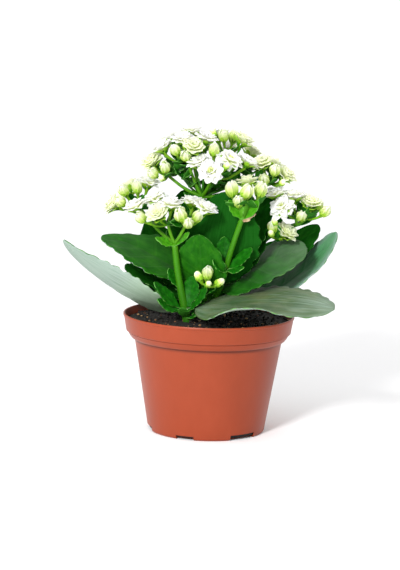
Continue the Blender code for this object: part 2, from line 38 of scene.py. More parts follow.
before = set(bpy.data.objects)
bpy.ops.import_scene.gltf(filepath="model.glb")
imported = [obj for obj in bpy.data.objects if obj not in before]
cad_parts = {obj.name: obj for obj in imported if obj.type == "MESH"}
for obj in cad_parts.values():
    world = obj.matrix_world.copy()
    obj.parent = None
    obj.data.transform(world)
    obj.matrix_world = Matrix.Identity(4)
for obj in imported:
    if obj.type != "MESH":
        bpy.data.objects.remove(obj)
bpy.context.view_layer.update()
print("solids in the frame:", len(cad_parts))


# %% Helpers for objects
def show(name, data):
    """Puts data such as a mesh, a lamp or a camera into the scene as a new object."""
    made = bpy.data.objects.new(name, data)
    bpy.context.scene.collection.objects.link(made)
    return made


def mesh_in_metres(name, bm):
    """Writes a finished bmesh in millimetres into a new mesh in metres."""
    bmesh.ops.scale(bm, vec=(MM, MM, MM), verts=bm.verts)
    mesh = bpy.data.meshes.new(name)
    bm.to_mesh(mesh)
    bm.free()
    return mesh


# %% [markdown]
# The photograph was taken from a little above the pot, from nearly a metre and a half
# away. A camera could be aimed by eye, but the pot's rim, ledge and foot are circles of
# known shape, so their ellipses give the camera's distance, height and slight roll.

# %% Place the camera
CAMERA_DISTANCE = 1380
CAMERA_ELEVATION = math.radians(8.84)
CAMERA_ROLL = math.radians(1.52)
CAMERA_TARGET = Vector((-6.77, 0, 102.4))
FOCAL_PIXELS = 1972
PHOTO_HEIGHT = 570

toward_camera = Vector((0, -math.cos(CAMERA_ELEVATION), math.sin(CAMERA_ELEVATION)))
level_up = Vector((0, math.sin(CAMERA_ELEVATION), math.cos(CAMERA_ELEVATION)))
level_right = Vector((1, 0, 0))
camera_right = level_right * math.cos(CAMERA_ROLL) + level_up * math.sin(CAMERA_ROLL)
camera_up = level_up * math.cos(CAMERA_ROLL) - level_right * math.sin(CAMERA_ROLL)

camera_data = bpy.data.cameras.new("camera")
camera_data.lens = FOCAL_PIXELS / PHOTO_HEIGHT * camera_data.sensor_width
camera = show("camera", camera_data)
camera_turn = Matrix((camera_right, camera_up, toward_camera)).transposed().to_4x4()
camera_place = (CAMERA_TARGET + toward_camera * CAMERA_DISTANCE) * MM
camera.matrix_world = Matrix.Translation(camera_place) @ camera_turn
bpy.context.scene.camera = camera
print(f"camera lens {camera_data.lens:.1f} mm")

# %% [markdown]
# The white surround and every finish below are built from shader nodes. A few small
# helpers keep that short. One turns a colour that was read on a screen (an sRGB hex
# value) into the linear values that shaders work in. Another fills in a node's
# settings, each of them a plain value or the output of another node.

# %% Helpers for colours and nodes
def linear(hex_value):
    """A screen colour such as "c66245" as the linear RGBA that a shader needs."""
    channels = [int(hex_value[start:start + 2], 16) / 255 for start in (0, 2, 4)]
    return (*[c / 12.92 if c <= 0.04045 else ((c + 0.055) / 1.055) ** 2.4 for c in channels], 1.0)


def fill_in(node, settings):
    """Sets and links a node. A key is an input's name or number, or a property.

    The key "stops" fills a colour ramp, with a position and a screen colour for each stop.
    """
    for key, value in settings.items():
        if key == "stops":
            elements = node.color_ramp.elements
            while len(elements) < len(value):
                elements.new(0.5)
            for element, (position, colour) in zip(elements, value):
                element.position = position
                element.color = linear(colour)
        elif isinstance(key, str) and key not in node.inputs:
            setattr(node, key, value)
        elif isinstance(value, bpy.types.NodeSocket):
            node.id_data.links.new(value, node.inputs[key])
        else:
            node.inputs[key].default_value = value


def add_node(tree, kind, settings=None, output=0):
    """Adds a node with its settings and links, and gives one of its outputs."""
    node = tree.nodes.new("ShaderNode" + kind)
    fill_in(node, settings or {})
    return node.outputs[output]


def new_finish(name):
    """An empty material, with its node tree and its Principled shader."""
    finish = bpy.data.materials.new(name)
    finish.use_nodes = True
    return finish, finish.node_tree, finish.node_tree.nodes["Principled BSDF"]


# %% [markdown]
# The plant stands on white in soft light that comes mostly from the upper left, and
# its shadow falls faintly to the right. A white surround lights it from all sides, but
# less from the right, and one large soft lamp gives the direction.

# %% Set the surround and the lamp
KEY_PLACE = Vector((-600, -1470, 900))
KEY_SIZE = 320
KEY_POWER = 30
SURROUND = 1.05
RIGHT_SIDE = 0.58
RIGHT_FROM = 0.1

bpy.context.scene.view_settings.view_transform = "Standard"
world = bpy.data.worlds.new("white_surround")
world.use_nodes = True
sky_way = add_node(world.node_tree, "TexCoord", output="Generated")
sky_right = add_node(world.node_tree, "SeparateXYZ", {"Vector": sky_way}, "X")
sky_shade = add_node(world.node_tree, "MapRange", {
    "interpolation_type": "SMOOTHSTEP", "Value": sky_right, "From Min": RIGHT_FROM,
    "To Min": SURROUND, "To Max": RIGHT_SIDE})
fill_in(world.node_tree.nodes["Background"], {"Color": (1, 1, 1, 1), "Strength": sky_shade})
bpy.context.scene.world = world

lamp_data = bpy.data.lights.new("soft_lamp", "AREA")
lamp_data.shape = "DISK"
lamp_data.size = KEY_SIZE * MM
lamp_data.energy = KEY_POWER
lamp = show("soft_lamp", lamp_data)
lamp_way = (CAMERA_TARGET - KEY_PLACE).to_track_quat("-Z", "Y")
lamp.matrix_world = Matrix.LocRotScale(KEY_PLACE * MM, lamp_way, None)
print("surround strength:", SURROUND, "and on the right:", RIGHT_SIDE)

# %% [markdown]
# The floor is a sheet of matt white paper. It needs no pattern, because the real one
# is so bright that nothing shows on it but the shadow. Far behind the pot, where the
# lamp hardly reaches, the paper glows a little, as a backdrop with its own lamp does.
# The distances of that glow are in metres, as the shader reads them.

# %% Lay the white paper
FLOOR_RADIUS = 60000.0
GLOW_FROM = 0.7
GLOW_FULL = 5.0
GLOW = 0.22

floor_bm = bmesh.new()
bmesh.ops.create_circle(floor_bm, cap_ends=True, radius=FLOOR_RADIUS, segments=96)
floor = show("floor", mesh_in_metres("floor", floor_bm))

paper, tree, shader = new_finish("matt_white_paper")
place = add_node(tree, "TexCoord", output="Object")
from_pot = add_node(tree, "VectorMath", {"operation": "LENGTH", 0: place}, "Value")
glow = add_node(tree, "MapRange", {
    "Value": from_pot, "From Min": GLOW_FROM, "From Max": GLOW_FULL, "To Max": GLOW})
fill_in(shader, {"Base Color": linear("fdfdfe"), "Roughness": 0.9, "Emission Color": linear("ffffff"),
                 "Emission Strength": glow})
floor.data.materials.append(paper)
print("floor radius in metres:", FLOOR_RADIUS * MM)

# %% [markdown]
# A nursery pot is injection-moulded polypropylene. It has an even brick-orange colour
# through the plastic, a satin skin with a fine orange-peel grain from the mould, and
# faint upright streaks where water and handling have dulled it. Just under the band
# the wall is painted darker, as painted shade for the little light that gets in there.
# The pattern uses the piece's own coordinates in metres, so each scale is one over a
# real size.

# %% Moulded terracotta-coloured plastic
GRAIN_MM = 1.2
DULL_PATCH_MM = 14
RECESS_LOW_MM = 62.6
RECESS_HIGH_MM = 65.3

pot_plastic, tree, shader = new_finish("moulded_polypropylene_terracotta")
place = add_node(tree, "TexCoord", output="Object")
streak_space = add_node(tree, "Mapping", {"Vector": place, "Scale": (1, 1, 0.5)})
patches = add_node(tree, "TexNoise", {
    "Vector": streak_space, "Scale": 1000 / DULL_PATCH_MM, "Detail": 4.0, "Roughness": 0.6})
brick = add_node(tree, "ValToRGB", {
    "Fac": patches, "stops": [(0.3, "8b3719"), (0.55, "8f391b"), (0.75, "933c1e")]})
height = add_node(tree, "SeparateXYZ", {"Vector": place}, "Z")
# Painted shade: the wall just under the band is darkened toward a deep brown, where little light gets in.
recess_foot = add_node(tree, "MapRange", {
    "Value": height, "From Min": RECESS_LOW_MM * MM, "From Max": RECESS_HIGH_MM * MM})
recess_top = add_node(tree, "MapRange", {
    "Value": height, "From Min": (RECESS_HIGH_MM + 0.35) * MM, "From Max": (RECESS_HIGH_MM + 0.15) * MM})
painted_recess_shade = add_node(tree, "Math", {"operation": "MULTIPLY", 0: recess_foot, 1: recess_top})
shaded = add_node(tree, "Mix", {"data_type": "RGBA", 0: painted_recess_shade, 6: brick, 7: linear("5a2212")}, 2)
dullness = add_node(tree, "MapRange", {"Value": patches, "To Min": 0.36, "To Max": 0.42})
grain = add_node(tree, "TexNoise", {"Vector": place, "Scale": 1000 / GRAIN_MM, "Detail": 1.0})
grain_bump = add_node(tree, "Bump", {"Height": grain, "Strength": 0.12, "Distance": 0.0002})
fill_in(shader, {"Base Color": shaded, "Roughness": dullness, "Normal": grain_bump, "IOR": 1.49,
                 "Specular IOR Level": 0.31})
print("pot finish:", pot_plastic.name)

# %% [markdown]
# Potting mix is dark, damp peat with crumbs in it, and a few paler bits of bark and
# dry fibre. Both come from one function, because both are shades that a noise lays
# out. The peat adds a lumpy bump, and the chips have a slow noise instead, so that
# each small chip gets a shade of its own.

# %% Damp peat and bark chips
LUMP_MM = 3.0
CHIP_SHADE_MM = 5.0


def speckled(name, patch_mm, detail, stops, roughness, harshness=0.5, bump=0.0):
    """A finish in shades that a noise lays out, in patches of a real size. The noise can raise bumps too."""
    finish, tree, shader = new_finish(name)
    place = add_node(tree, "TexCoord", output="Object")
    noise = add_node(tree, "TexNoise", {
        "Vector": place, "Scale": 1000 / patch_mm, "Detail": detail, "Roughness": harshness})
    shades = add_node(tree, "ValToRGB", {"Fac": noise, "stops": stops})
    fill_in(shader, {"Base Color": shades, "Roughness": roughness})
    if bump:
        lumps = add_node(tree, "Bump", {"Height": noise, "Strength": bump, "Distance": MM})
        fill_in(shader, {"Normal": lumps})
    return finish


peat_stops = [(0.35, "0d0a08"), (0.6, "1d1612"), (0.8, "33261d")]
chip_stops = [(0.35, "3a2417"), (0.5, "7a5233"), (0.62, "b08a5c"), (0.7, "d8c49a")]
peat = speckled("damp_peat", LUMP_MM, 6.0, peat_stops, 0.85, harshness=0.7, bump=0.9)
bark = speckled("bark_and_dry_fibre", CHIP_SHADE_MM, 2.0, chip_stops, 0.8)
print("mix finishes:", peat.name, bark.name)

# %% [markdown]
# A kalanchoe leaf is thick and fleshy under a smooth waxy skin. Its upper face is a
# deep even green with a soft sheen. On older leaves the wax is a pale grey-green film
# in fine streaks, worn off in patches. On three leaves the same pale colour is laid on
# thickly: at their tips, over much of one blade and along the edges of another. There
# it is partly wax and partly painted sheen, the white surroundings reflected at a
# grazing angle. The patterns follow the leaf, so they read its UV map: U runs from
# stalk to tip and V from side to side.

# %% Upper face of the leaves
VEIN_PAIRS = 6
MOTTLE_ACROSS_LEAF = 7
MOTTLE_STOPS = (0.3, 0.5, 0.7)
WAX_AND_SHEEN = "8fa08e"


def upper_face(name, shades, streaks, tip=0.0, wax=WAX_AND_SHEEN, gloss=0.1, tip_from=0.5, edge=0.0, patchy=0.0):
    """The upper skin: three mottled shades, faint veins, and a pale film in streaks, at the tip and at the
    edges.

    The film is partly wax and partly painted sheen. Streaks, tip and edge say how strong it is there, and
    patchy how far it is broken up in patches, as worn wax is.
    """
    finish, tree, shader = new_finish(name)
    leaf_map = add_node(tree, "TexCoord", output="UV")
    along = add_node(tree, "SeparateXYZ", {"Vector": leaf_map}, "X")
    across = along.node.outputs["Y"]
    mottle = add_node(tree, "TexNoise", {
        "Vector": leaf_map, "Scale": MOTTLE_ACROSS_LEAF, "Detail": 4.0, "Roughness": 0.55})
    green = add_node(tree, "ValToRGB", {"Fac": mottle, "stops": list(zip(MOTTLE_STOPS, shades))})

    from_rib = add_node(tree, "Math", {"operation": "SUBTRACT", 0: across, 1: 0.5})
    aside = add_node(tree, "Math", {"operation": "ABSOLUTE", 0: from_rib})
    slant = add_node(tree, "Math", {"operation": "MULTIPLY_ADD", 0: aside, 1: -0.5, 2: along})
    waves = add_node(tree, "Math", {"operation": "MULTIPLY", 0: slant, 1: 2 * math.pi * VEIN_PAIRS})
    swing = add_node(tree, "Math", {"operation": "COSINE", 0: waves})
    side_vein = add_node(tree, "MapRange", {"Value": swing, "From Min": 0.8, "From Max": 1.0})
    rib = add_node(tree, "MapRange", {"Value": aside, "From Min": 0.03, "From Max": 0.0})
    veins = add_node(tree, "Math", {"operation": "MAXIMUM", 0: side_vein, 1: rib})
    tint = add_node(tree, "Math", {"operation": "MULTIPLY", 0: veins, 1: 0.05})
    veined = add_node(tree, "Mix", {"data_type": "RGBA", 0: tint, 6: green, 7: linear("4c8a2a")}, 2)

    stretched = add_node(tree, "Mapping", {"Vector": leaf_map, "Scale": (1.5, 26, 1)})
    streak = add_node(tree, "TexNoise", {
        "Vector": stretched, "Scale": 2.0, "Detail": 5.0, "Roughness": 0.6})
    in_streaks = add_node(tree, "MapRange", {
        "Value": streak, "From Min": 0.38, "From Max": 0.68, "To Max": streaks})
    tip_wax_and_sheen = add_node(tree, "MapRange", {"Value": along, "From Min": tip_from, "To Max": tip})
    edge_wax_and_sheen = add_node(tree, "MapRange", {
        "Value": aside, "From Min": 0.12, "From Max": 0.4, "To Max": edge})
    some_wax_and_sheen = add_node(tree, "Math", {"operation": "ADD", 0: in_streaks, 1: tip_wax_and_sheen})
    all_wax_and_sheen = add_node(tree, "Math", {"operation": "ADD", "use_clamp": True, 0: some_wax_and_sheen, 1: edge_wax_and_sheen})
    patch = add_node(tree, "TexNoise", {
        "Vector": leaf_map, "Scale": 2.6, "Detail": 3.0, "Roughness": 0.6})
    worn = add_node(tree, "MapRange", {
        "Value": patch, "From Min": 0.35, "From Max": 0.6, "To Min": 1.0 - patchy})
    wax_and_sheen_left = add_node(tree, "Math", {"operation": "MULTIPLY", 0: all_wax_and_sheen, 1: worn})
    wax_and_sheen_laid = add_node(tree, "Mix", {"data_type": "RGBA", 0: wax_and_sheen_left, 6: veined, 7: linear(wax)}, 2)

    bump = add_node(tree, "Bump", {
        "invert": True, "Height": veins, "Strength": 0.25, "Distance": 0.0005})
    fill_in(shader, {"Base Color": wax_and_sheen_laid, "Normal": bump, "Roughness": 0.45,
                     "Specular IOR Level": gloss, "IOR": 1.45})
    return finish


leaf_fresh = upper_face("leaf_upper_fresh", ("124c06", "1a5a09", "27680d"), 0.02, gloss=0.03)
# Painted shade: this deep finish is a darker copy of the fresh one for the leaves inside and behind the
# plant; its darkness is partly their own deeper green and partly painted shade.
leaf_deep_shaded = upper_face("leaf_upper_deep_painted_shade", ("0b3c08", "104a0b", "175811"), 0.01, gloss=0.0)
# Painted sheen: on these three leaves the pale film at the tip, over the blade and at the edges is partly
# wax and partly the white surroundings reflected at a grazing angle, painted into the colour.
leaf_painted_sheen = upper_face(
    "leaf_upper_painted_sheen", ("0f4607", "17540b", "206212"), 0.06, 0.6, "6a8068", patchy=0.5)
leaf_olive_wax_sheen = upper_face(
    "leaf_upper_olive_wax_and_sheen", ("2a4a20", "40562c", "5a653e"), 0.6, 0.6, "8a9e8f", tip_from=0.7, patchy=0.75)
leaf_streaked = upper_face(
    "leaf_upper_streaked", ("0e6a1e", "1a8030", "2f8c40"), 0.2, 0.35, "7f9a8e",
    tip_from=0.6, edge=0.85, patchy=0.4)
leaf_young = upper_face("leaf_young_upper", ("084a03", "0e5805", "1b6c0a"), 0.01)
bract_upper = upper_face("bract_upper", ("2f7a0c", "3f8a12", "529a1e"), 0.0)
print("upper faces:", [m.name for m in bpy.data.materials if "upper" in m.name])

# %% [markdown]
# The underside is matt and has no film. It is paler and greyer where it catches the
# light, with fine lengthwise streaks, and greener near the stalk. On the powdery
# underside that shade near the stalk is lighter too, as painted light where the stalk
# end turns down into shade. Young leaves and bracts are plain green below, and one
# withered bract is the brown of dry tissue. The scalloped margin of a leaf is thin
# enough to let light through, so it shows as a fine line of brighter green, a little
# uneven along its length.

# %% Underside and edge of the leaves
EDGE_PATCH_MM = 4.0


def underside(name, dark, pale, stalk_green, gloss=0.1):
    """The matt lower skin: fine lengthwise streaks of two shades, and a third shade near the stalk."""
    finish, tree, shader = new_finish(name)
    leaf_map = add_node(tree, "TexCoord", output="UV")
    stretched = add_node(tree, "Mapping", {"Vector": leaf_map, "Scale": (1.2, 30, 1)})
    streak = add_node(tree, "TexNoise", {
        "Vector": stretched, "Scale": 2.4, "Detail": 6.0, "Roughness": 0.62})
    streaked = add_node(tree, "ValToRGB", {"Fac": streak, "stops": [(0.32, dark), (0.62, pale)]})
    along = add_node(tree, "SeparateXYZ", {"Vector": leaf_map}, "X")
    near_stalk = add_node(tree, "MapRange", {
        "Value": along, "From Min": 0.6, "From Max": 0.15, "To Max": 0.8})
    skin = add_node(tree, "Mix", {
        "data_type": "RGBA", 0: near_stalk, 6: streaked, 7: linear(stalk_green)}, 2)
    bump = add_node(tree, "Bump", {"Height": streak, "Strength": 0.25, "Distance": 0.0003})
    fill_in(shader, {"Base Color": skin, "Normal": bump, "Roughness": 0.6, "Specular IOR Level": gloss})
    return finish


def edge_skin(name, dark, pale):
    """The thin bright margin of a leaf."""
    return speckled(name, EDGE_PATCH_MM, 3.0, [(0.35, dark), (0.65, pale)], 0.45)


leaf_under = underside("leaf_underside_grey_green", "2d5027", "4c6c45", "2a5a1c")
# Painted shade: the deep underside is darker for the same leaves, partly their own green and partly painted
# shade.
leaf_under_deep_shaded = underside("leaf_underside_deep_painted_shade", "0e440b", "195216", "0e440b", 0.0)
# Painted light: the powdery underside's shade near the stalk is lighter than its streaks, to lift the shade
# where the stalk end turns down.
leaf_under_pale = underside("leaf_underside_powdery", "768c7c", "9aaba0", "a3c298")
leaf_young_under = underside("leaf_young_underside", "1c6010", "387a22", "2a6c14")
bract_under = underside("bract_underside", "3a7f12", "5c9a2c", "4a8c1a")
dry_tissue = underside("bract_withered", "8a6c4c", "d2bd9c", "a88c6a")
leaf_edge = edge_skin("leaf_edge_bright", "346c1a", "5c9440")
leaf_young_edge = edge_skin("leaf_young_edge", "3f7f22", "6fa648")
print("undersides:", [m.name for m in bpy.data.materials if "underside" in m.name])

# %% [markdown]
# Stems, flower stalks and calyxes are juicy green. They are dull green at the soil
# and turn yellow-green toward the flowers, so each point of these meshes carries a
# number, "youth", that the finish turns into its colour. Buds and petals do the same
# with the number "white", from the green base of a petal to its white tip. The
# darkest shade, where youth is lowest at the foot of each shoot and each sepal, is
# partly the stem's own colour and partly painted shade.

# %% Skin of the stems, buds and petals
STREAK_MM = 1.5

stem_skin, tree, shader = new_finish("stem_skin_juicy")
youth = add_node(tree, "Attribute", {"attribute_name": "youth"}, "Fac")
# Painted shade: the first, darkest stop is partly painted shade at the feet of the shoots and sepals.
stem_green = add_node(tree, "ValToRGB", {"Fac": youth, "stops": [
    (0.0, "143808"), (0.22, "2b6a08"), (0.45, "3b7d0c"), (0.75, "62991a"), (1.0, "94c234")]})
place = add_node(tree, "TexCoord", output="Object")
upright = add_node(tree, "Mapping", {"Vector": place, "Scale": (1, 1, 0.12)})
fibres = add_node(tree, "TexNoise", {"Vector": upright, "Scale": 1000 / STREAK_MM, "Detail": 2.0})
shade = add_node(tree, "MapRange", {
    "Value": fibres, "From Min": 0.3, "From Max": 0.7, "To Max": 0.3})
streaked = add_node(tree, "Mix", {
    "data_type": "RGBA", "blend_type": "MULTIPLY", 0: shade, 6: stem_green, 7: linear("a9c48a")}, 2)
fill_in(shader, {"Base Color": streaked, "Roughness": 0.4, "Subsurface Weight": 0.1,
                 "Subsurface Scale": 0.002, "Specular IOR Level": 0.15})


def flower_skin(name, stops, roughness, painted_glow_colour, strength):
    """Petal tissue whose colour follows the "white" number of each point.

    Real petals are so thin that light soaks through them and brightens their shade, a
    little green in the buds. A faint painted glow, though petals give no light, stands
    for what the subsurface light misses.
    """
    finish, tree, shader = new_finish(name)
    white = add_node(tree, "Attribute", {"attribute_name": "white"}, "Fac")
    tissue = add_node(tree, "ValToRGB", {"Fac": white, "stops": stops})
    fill_in(shader, {
        "Base Color": tissue, "Roughness": roughness, "Specular IOR Level": 0.2,
        "Subsurface Weight": 0.9, "Subsurface Radius": (1.0, 1.0, 0.85), "Subsurface Scale": 0.003,
        "Emission Color": linear(painted_glow_colour), "Emission Strength": strength})
    return finish


petal_stops = [(0.0, "a3c236"), (0.3, "d3e27c"), (0.55, "e6efac"), (0.8, "f5f5e4"), (1.0, "f8f6f6")]
bud_stops = [(0.0, "69a016"), (0.33, "93c02e"), (0.58, "c6dd78"), (0.84, "e6eebc"), (1.0, "f4f5e0")]
# Painted light: both skins glow faintly, the buds in a greener tint, to lift their shade.
petal_skin = flower_skin("petal_double_white", petal_stops, 0.6, "e6ecd4", 0.06)
bud_skin = flower_skin("bud_closed_petals", bud_stops, 0.5, "c8dc80", 0.1)
print("finishes in all:", len(bpy.data.materials))

# %% [markdown]
# The pieces are made in millimetres as bmesh shapes. One helper brings a finished
# shape to metres, gives it its finishes, lets it ride with the frame, and hides the
# plain solids that it stands for.

# %% Helpers for pieces
def new_piece(name, bm, finishes, replaced=()):
    """Turns a bmesh in millimetres into a smooth piece in metres that rides with the frame."""
    mesh = mesh_in_metres(name, bm)
    mesh.shade_smooth()
    for finish in finishes:
        mesh.materials.append(finish)
    made = show(name, mesh)
    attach(made, "root")
    if replaced:
        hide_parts(*replaced)
    print(f"{name}: {len(mesh.polygons)} faces")
    return made


def add_thickness(target, millimetres, group="", thin=1.0):
    """Gives a sheet an even thickness about its middle. A vertex group can make it thinner in places."""
    solid = target.modifiers.new("Thickness", "SOLIDIFY")
    solid.thickness = millimetres * MM
    solid.offset = 0.0
    if group:
        solid.vertex_group = group
        solid.thickness_vertex_group = thin
    return solid


def keep_shape(target, sharp_degrees):
    """Writes what the modifiers made into the mesh, with hard shading where faces meet at a sharp angle."""
    bpy.context.view_layer.update()
    seen = target.evaluated_get(bpy.context.evaluated_depsgraph_get())
    made = bpy.data.meshes.new_from_object(seen)
    target.modifiers.clear()
    target.data = made
    made.set_sharp_from_angle(angle=math.radians(sharp_degrees))


# %% [markdown]
# The pot is turned: its outline is drawn once from the foot to the rim and down the
# inside, then spun round the pot's axis. A lathe shape could also be stacked from
# cylinders, but the spin gives the rounded foot, the stepped band and the thin lip as
# one skin. Six drainage notches, small and large by turns, are then cut out of its
# foot with blocks, because that leaves the sharp mouths that moulding leaves.

# %% Turn the pot
RIM_RADIUS = 60.0
POT_HEIGHT = 82.4
BASE_RADIUS = 41.3
WALL = 1.0
FLOOR_THICK = 1.4
BAND_FOOT_Z = 65.4
BAND_LEDGE_Z = 70.2
SHOULDER_RADIUS = 51.9
LEDGE_RADIUS = 57.8
POT_STEPS = 144
LONG_STRETCH = 2
RING_CLOSE = 0.5
RING_APART = 9.0

foot = [(0, 0), (BASE_RADIUS - 1.9, 0), (BASE_RADIUS - 1.2, 0.15), (BASE_RADIUS - 0.5, 0.6),
        (BASE_RADIUS - 0.15, 1.3), (BASE_RADIUS, 2.4)]
side = [(SHOULDER_RADIUS - 0.1, BAND_FOOT_Z - 0.3), (SHOULDER_RADIUS + 0.1, BAND_FOOT_Z),
        (SHOULDER_RADIUS + 1.9, BAND_FOOT_Z + 0.05), (SHOULDER_RADIUS + 2.2, BAND_FOOT_Z + 0.3)]
flare = [(SHOULDER_RADIUS + 3.3, BAND_FOOT_Z + 1.6), (LEDGE_RADIUS - 1.5, BAND_FOOT_Z + 3.6),
         (LEDGE_RADIUS - 1.1, BAND_LEDGE_Z - 0.5), (LEDGE_RADIUS - 1.3, BAND_LEDGE_Z - 0.3)]
ledge = [(LEDGE_RADIUS - 1.3, BAND_LEDGE_Z + 0.1), (LEDGE_RADIUS - 0.3, BAND_LEDGE_Z + 0.1),
         (LEDGE_RADIUS, BAND_LEDGE_Z + 0.4)]
lip_foot = POT_HEIGHT - 1.9
lip = [(RIM_RADIUS - 0.5, lip_foot), (RIM_RADIUS - 0.15, lip_foot + 0.15), (RIM_RADIUS, lip_foot + 0.5),
       (RIM_RADIUS, POT_HEIGHT - 0.4), (RIM_RADIUS - 0.15, POT_HEIGHT - 0.1), (RIM_RADIUS - 0.4, POT_HEIGHT)]
inside = [(RIM_RADIUS - WALL, POT_HEIGHT), (RIM_RADIUS - WALL - 0.3, POT_HEIGHT - 0.3),
          (LEDGE_RADIUS - WALL, BAND_LEDGE_Z + 0.2), (LEDGE_RADIUS - 2.2 - WALL, BAND_FOOT_Z + 3.4),
          (SHOULDER_RADIUS - WALL, BAND_FOOT_Z - 0.5), (BASE_RADIUS - WALL + 0.1, FLOOR_THICK),
          (0, FLOOR_THICK)]


def with_close_rings(profile):
    """Adds rings near the ends of each long stretch of a profile, so that its shading stays flat."""
    fuller = [profile[0]]
    for (radius, height), (next_radius, next_height) in zip(profile, profile[1:]):
        long = math.hypot(next_radius - radius, next_height - height)
        if long > LONG_STRETCH:
            count = max(round(long / RING_APART), 1)
            even = [index / count for index in range(1, count)]
            shares = [RING_CLOSE / long] + even + [1 - RING_CLOSE / long]
            fuller += [(radius + (next_radius - radius) * share, height + (next_height - height) * share)
                       for share in shares]
        fuller.append((next_radius, next_height))
    return fuller


def spun(profile, steps):
    """A profile of (radius, height) points spun once round the pot's axis."""
    bm = bmesh.new()
    corners = [bm.verts.new((radius, 0, height)) for radius, height in profile]
    edges = [bm.edges.new(pair) for pair in zip(corners, corners[1:])]
    bmesh.ops.spin(bm, geom=corners + edges, axis=(0, 0, 1), cent=(0, 0, 0), steps=steps,
                   angle=2 * math.pi, use_merge=True)
    bmesh.ops.remove_doubles(bm, verts=bm.verts, dist=0.001)
    bmesh.ops.dissolve_degenerate(bm, edges=bm.edges, dist=0.001)
    bmesh.ops.recalc_face_normals(bm, faces=bm.faces)
    return bm


outline = with_close_rings(foot + side + flare + ledge + lip + inside)
pot = new_piece("nursery_pot", spun(outline, POT_STEPS), [pot_plastic], ["pot"])

# %% Cut the drainage notches
# Each pair of sizes is a width and a height.
NOTCH_COUNT = 6
NOTCH_FIRST = -21.0
NOTCH_SIZES = [(13.0, 2.8), (21.0, 3.8)]
NOTCH_DEEP = 7.0
BLOCK_PROUD = 1.0
POT_SHARP = 32

cutter_bm = bmesh.new()
for index in range(NOTCH_COUNT):
    wide, high = NOTCH_SIZES[index % len(NOTCH_SIZES)]
    block = bmesh.ops.create_cube(cutter_bm, size=1.0)["verts"]
    bmesh.ops.scale(cutter_bm, vec=(wide, NOTCH_DEEP, 2 * high), verts=block)
    bmesh.ops.translate(cutter_bm, vec=(0, -(BASE_RADIUS + BLOCK_PROUD - NOTCH_DEEP / 2), 0), verts=block)
    swing = Matrix.Rotation(math.radians(NOTCH_FIRST + index * 360 / NOTCH_COUNT), 3, "Z")
    bmesh.ops.rotate(cutter_bm, cent=(0, 0, 0), matrix=swing, verts=block)
cutter = show("notches", mesh_in_metres("notches", cutter_bm))
cut = pot.modifiers.new("Notches", "BOOLEAN")
cut.object = cutter
cut.solver = "EXACT"
keep_shape(pot, POT_SHARP)
bpy.data.objects.remove(cutter, do_unlink=True)
print("pot after its notches:", len(pot.data.polygons), "faces")

# %% [markdown]
# The potting mix fills the pot to a few millimetres under its rim. Its top is a round
# sheet with many rings, pushed up and down a little at random, and hundreds of small
# crumbs lie on it. Real crumbs have no two shapes alike, so each is a rough ball that
# is squashed, turned and dented by chance.

# %% Fill the pot with mix
SOIL_Z = 78.0
SOIL_LUMP = 0.7
SOIL_STEPS = 96
SOIL_EDGE = 58
SOIL_SLOPE = 0.02
GAP = 0.3
ANY_TURN = 6.28


def mound(radius):
    """How much the mix rises from the pot's wall toward the middle."""
    return (SOIL_EDGE - radius) * SOIL_SLOPE


chance = random.Random(SEED)
soil_wall = [(0, FLOOR_THICK + GAP), (BASE_RADIUS - WALL - GAP, FLOOR_THICK + GAP),
             (SHOULDER_RADIUS - WALL - GAP, BAND_FOOT_Z - 0.5),
             (LEDGE_RADIUS - 2.2 - WALL - GAP, BAND_FOOT_Z + 3.4),
             (LEDGE_RADIUS - WALL - GAP, BAND_LEDGE_Z + 0.2), (RIM_RADIUS - WALL - 1.6, SOIL_Z - 1.2)]
soil_top = [(radius, SOIL_Z - 0.4 + mound(radius)) for radius in range(57, 0, -2)]
soil_bm = spun(soil_wall + soil_top + [(0, SOIL_Z + 0.7)], SOIL_STEPS)
for vert in soil_bm.verts:
    if vert.co.z > SOIL_Z - 1.0:
        vert.co.z += chance.uniform(-SOIL_LUMP, SOIL_LUMP)
new_piece("potting_mix", soil_bm, [peat], ["soil"])


# %% Scatter crumbs and bark chips
def scatter(bm, count, smallest, largest, flatness, reach, depth):
    """Lays rough crumbs on the mix. Each is a small ball, dented, squashed and turned by chance.

    Flatness is a crumb's height against its width, and depth the share of it that stands out of the mix.
    """
    for _ in range(count):
        size = smallest + (largest - smallest) * chance.random() ** 2
        radius = reach * math.sqrt(chance.random())
        angle = chance.uniform(0, 2 * math.pi)
        crumb = bmesh.ops.create_icosphere(bm, subdivisions=1, radius=size / 2)["verts"]
        for vert in crumb:
            vert.co *= chance.uniform(0.7, 1.2)
        bmesh.ops.scale(bm, vec=(1.0, chance.uniform(0.5, 1.0), flatness), verts=crumb)
        lean = Matrix.Rotation(chance.uniform(-0.5, 0.5), 3, "X")
        tilt = lean @ Matrix.Rotation(chance.uniform(0, ANY_TURN), 3, "Z")
        bmesh.ops.rotate(bm, cent=(0, 0, 0), matrix=tilt, verts=crumb)
        height = SOIL_Z - 0.2 + mound(radius) + size * flatness * depth
        where = (radius * math.cos(angle), radius * math.sin(angle), height)
        bmesh.ops.translate(bm, vec=where, verts=crumb)


crumb_bm = bmesh.new()
scatter(crumb_bm, count=700, smallest=0.8, largest=3.2, flatness=0.7, reach=56, depth=0.3)
new_piece("peat_crumbs", crumb_bm, [peat])
chip_bm = bmesh.new()
scatter(chip_bm, count=150, smallest=0.7, largest=3.0, flatness=0.5, reach=56.5, depth=0.8)
new_piece("bark_chips", chip_bm, [bark])

# %% [markdown]
# Every large leaf is one bent sheet. Its middle line rises from the stem on an arc,
# and the sheet is laid across that line with the leaf's width, its cupped section and
# the roll that turns one side up. A leaf could be sculpted, but with a few plain
# numbers for each leaf the same formula gives them all, as the solids have them.

